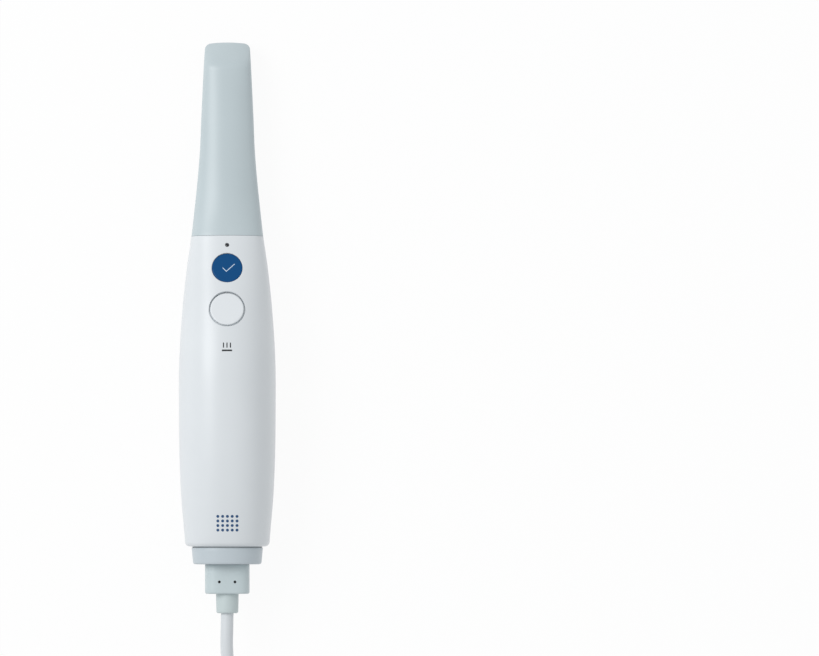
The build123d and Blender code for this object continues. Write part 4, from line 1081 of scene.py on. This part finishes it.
cord_curve = bpy.data.curves.new("cord", "CURVE")
cord_curve.dimensions = "3D"
cord_curve.bevel_depth = CORD_DIAMETER / 2 * MM
cord_curve.bevel_resolution = 6
cord_curve.use_fill_caps = True
line = cord_curve.splines.new("NURBS")
cord_places = LEAD + hank_places() + TAIL
line.points.add(len(cord_places) - 1)
for point, place in zip(line.points, cord_places):
    point.co = (*(Vector(place) * MM), 1.0)
line.order_u = 3
line.use_endpoint_u = True
line.resolution_u = 8
cord_curve.materials.append(cord_jacket)
cord = placed("cord", cord_curve)
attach(cord, "cable")
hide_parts("cord_lead", "cord_tail", "cord_hank")

# Straps: two woven hook-and-loop straps, each wrapped tight round both columns of the hank. The weave is
# fine threads that cross, a little fuzzy.
strap_weave, strap_tree, strap_shader = new_material("strap_weave")
THREAD = 0.55 * MM
STRAP_THICKNESS = 0.8
strap_place = Value.of(strap_tree, "ShaderNodeTexCoord", output="Object")
across_wave, along_wave, up_wave = [(strap_place.part(axis) * (2 * math.pi / THREAD)).maths("SINE")
                                    for axis in "XYZ"]
weave = (across_wave * along_wave + up_wave * along_wave) * 0.25 + 0.5
fuzz = Value.of(strap_tree, "ShaderNodeTexNoise", {"Vector": strap_place, "Scale": 5200.0, "Detail": 3.0})
fill(strap_tree, strap_shader, {
    "Sheen Weight": 0.35, "Roughness": 0.72 + fuzz * 0.2,
    "Base Color": (weave * 0.7 + fuzz * 0.3).between((0.035, 0.04, 0.046, 1), (0.10, 0.11, 0.125, 1)),
    "Normal": Value.of(strap_tree, "ShaderNodeBump", {
        "Strength": 0.8, "Distance": 0.12 * MM, "Height": weave})})
strap_low, strap_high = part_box("hank_ties")
strap_middle = (strap_low.z + strap_high.z) / 2 / MM
strap_height = (strap_high.z - strap_low.z) / MM
strap_width = HANK_RADII[0] - HANK_RADII[1] + CORD_DIAMETER + 2 * STRAP_THICKNESS
start, end = strap_low.y / MM, strap_high.y / MM
# Place along the scanner, how much narrower than the outside, and corner
strap_profile = [(start + 0.2, 2 * STRAP_THICKNESS, 2.7), (start, 0.4, 3.2), (start + 0.3, 0.0, 3.4),
                 (end - 0.3, 0.0, 3.4), (end, 0.4, 3.2), (end - 0.2, 2 * STRAP_THICKNESS, 2.7)]
for side, word in ((-1, "left"), (1, "right")):
    x = HANK_SIDE + side * (HANK_RADII[0] + HANK_RADII[1]) / 2
    loops = [rounded_loop(strap_width - less, strap_height - less, corner, y, x, strap_middle)
             for y, less, corner in strap_profile]
    piece("hank_strap_" + word, lofted(loops, closed=True), strap_weave, "cable",
                        ("hank_ties",), 60)

# Far plug: a ribbed grip, a bright metal shell with two latch windows, and the contact tongue inside it.
# It lies on the hank, at the end of the cable's tail.
grip_low, grip_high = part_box("usb_grip")
GRIP_X, GRIP_LEVEL = (grip_low.x + grip_high.x) / 2 / MM, (grip_low.z + grip_high.z) / 2 / MM
GRIP_WIDTH, GRIP_HEIGHT, GRIP_CORNER = 15.0, 8.0, 2.6
RIB_START, RIB_SPACING, RIB_DEPTH = 9.0, 2.6, 0.35
SHELL_WIDTH, SHELL_HEIGHT, SHELL_CORNER, SHELL_WALL = 12.0, 4.5, 0.75, 0.5
LATCH_SPREAD, LATCH_BACK, LATCH_SIZE = 2.8, 6.2, (2.3, 2.3, 1.4)
start, end = grip_low.y / MM, grip_high.y / MM
grip_profile = [(start + down, across) for down, across in reversed(quarter(1.2))]
for rib in range(6):
    groove = start + RIB_START + RIB_SPACING * rib
    grip_profile += [(groove, 0), (groove + 0.35, RIB_DEPTH), (groove + 0.95, RIB_DEPTH), (groove + 1.3, 0)]
grip_profile += [(end - down, across) for down, across in quarter(0.7)]


def far_plug_loops(width, height, corner, profile):
    """Loops of a rounded box round the far plug's line, drawn in by the profile's insets."""
    return [rounded_loop(width - 2 * inset, height - 2 * inset, corner - inset, y, GRIP_X, GRIP_LEVEL)
            for y, inset in profile]


far_grip = piece("far_plug_grip", lofted(far_plug_loops(GRIP_WIDTH, GRIP_HEIGHT, GRIP_CORNER, grip_profile)),
                 plug_plastic, "cable", ("usb_grip",))
start, end = [corner.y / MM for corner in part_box("usb_shell")]
shell_profile = [(start, 0), (end - 0.2, 0), (end, 0.2), (end - 0.1, SHELL_WALL), (start, SHELL_WALL)]
shell_blank = lofted(far_plug_loops(SHELL_WIDTH, SHELL_HEIGHT, SHELL_CORNER, shell_profile), closed=True)
latch_cuts = []
for side in (-1, 1):
    bm = bmesh.new()
    bmesh.ops.create_cube(bm, size=1.0)
    centre = Vector((GRIP_X + side * LATCH_SPREAD, end - LATCH_BACK, GRIP_LEVEL + 2.2)) * MM
    sizes = Matrix.Diagonal((*(size * MM for size in LATCH_SIZE), 1))
    bmesh.ops.transform(bm, matrix=Matrix.Translation(centre) @ sizes, verts=bm.verts)
    latch_cuts.append(bm)
far_shell = piece("far_plug_shell", carved(shell_blank, latch_cuts, 0), steel, "cable",
                  ("usb_shell",))
along(RELIEF_END) * MM

# Inner pieces: black lens barrels, a blasted aluminium chassis and coolers, green boards with black
# packages, gilt contacts, and the optical glass.
inner_plastic = satin("inner_plastic", (0.03, 0.03, 0.033), 0.4, grain=0.4)
contact_metal = satin("contact_metal", (0.80, 0.58, 0.25), 0.25, grain=0.2, grain_size=0.1 * MM, metal=1.0)
aluminium = satin("aluminium", (0.66, 0.67, 0.69), 0.38, grain_size=0.2 * MM, metal=1.0)
chip_black = satin("chip_black", (0.018, 0.018, 0.02), 0.5, grain_size=0.15 * MM)
mirror_coat = satin("mirror_coat", (0.90, 0.92, 0.93), 0.04, grain=0.0, metal=1.0)
coated_glass = satin("coated_glass", (0.75, 0.84, 0.90), 0.05, grain=0.0, coat=0.5,
                     more={"Transmission Weight": 0.85})
board_green, board_tree, board_shader = new_material("board_green")
board_place = Value.of(board_tree, "ShaderNodeTexCoord", output="Object")
tracks = Value.of(board_tree, "ShaderNodeTexBrick", {
    "Vector": board_place, "Scale": 260.0, "Mortar Size": 0.05, "Color1": (0, 0, 0, 1),
    "Color2": (0, 0, 0, 1), "Mortar": (1, 1, 1, 1)}, "Color", offset=0.37)
board_cloud = Value.of(board_tree, "ShaderNodeTexNoise", {"Vector": board_place, "Scale": 500.0})
track_mask = tracks.part("X") * 0.7 + board_cloud * 0.2
fill(board_tree, board_shader, {
    "Coat Weight": 0.4, "Roughness": 0.32 + board_cloud * 0.12,
    "Base Color": track_mask.between((0.008, 0.085, 0.045, 1), (0.04, 0.21, 0.10, 1)),
    "Normal": Value.of(board_tree, "ShaderNodeBump", {
        "Strength": 0.5, "Distance": 0.03 * MM, "Height": track_mask})})
finishes = {
    "white_shell": white_plastic, "white_key": white_key, "blue_key": blue_key, "tip_plastic": tip_plastic,
    "collar_plastic": collar_plastic, "plug_plastic": plug_plastic, "inner_plastic": inner_plastic,
    "clear_plastic": dark_clear, "mirror_glass": mirror_coat, "window_glass": coated_glass,
    "black_metal": black_metal, "bare_aluminium": aluminium, "circuit_board": board_green,
    "chip_plastic": chip_black, "steel": steel, "contact_metal": contact_metal, "seal_rubber": seal_rubber,
    "relief_rubber": relief_rubber, "cord_jacket": cord_jacket, "tie_fabric": strap_weave,
}
for subpart in frame["record"]["subparts"]:
    carried = frame["nodes"][subpart["node"]]
    carried.data.materials.clear()
    carried.data.materials.append(finishes[subpart["material_slot"]])
frame["nodes"]["plug_screws"].data.materials[0] = chip_black

# Floor and light: a plain white sweep under a large soft lamp from the left and an even pale surround.
# What looks at the floor sees it nearly white, and only a faint shadow stays.
FLOOR_REACH, FLOOR_WHITE = 4.0, 0.93
floor_mesh = bpy.data.meshes.new("floor")
floor_corners = [(FLOOR_REACH * x, FLOOR_REACH * y, 0) for x, y in ((-1, -1), (1, -1), (1, 1), (-1, 1))]
floor_mesh.from_pydata(floor_corners, [], [(0, 1, 2, 3)])
floor = placed("floor", floor_mesh)
floor_paint, floor_tree, floor_shader = new_material("floor_paint")
fill(floor_tree, floor_shader, {"Base Color": (FLOOR_WHITE, FLOOR_WHITE, FLOOR_WHITE, 1), "Roughness": 0.9})
seen, mirrored, seen_through = [Value.of(floor_tree, "ShaderNodeLightPath", output="Is %s Ray" % kind)
                                for kind in ("Camera", "Glossy", "Transmission")]
whitened = seen.maths("MAXIMUM", mirrored).maths("MAXIMUM", seen_through) * FLOOR_WHITE
shine = Value.of(floor_tree, "ShaderNodeEmission", {"Color": (1, 1, 1, 1), "Strength": 1.0})
painted = Value(floor_tree, floor_shader.outputs[0])
mixed = Value.of(floor_tree, "ShaderNodeMixShader", {0: whitened, 1: painted, 2: shine})
fill(floor_tree, floor_tree.nodes["Material Output"], {"Surface": mixed})
floor_mesh.materials.append(floor_paint)
bpy.context.scene.view_settings.view_transform = "Standard"
world = bpy.data.worlds.new("surround")
bpy.context.scene.world = world
world.use_nodes = True
fill(world.node_tree, world.node_tree.nodes["Background"], {"Color": (0.97, 0.99, 1.0, 1), "Strength": 0.64})
lamp = placed("key_lamp", bpy.data.lights.new("key_lamp", "AREA"))
lamp.data.energy = 12.5
lamp.data.size = 0.9
lamp.location = (-1.0, 0.5, 1.3)
lamp.rotation_euler = (Vector((0, 0, 0.02)) - lamp.location).to_track_quat("-Z", "Y").to_euler()
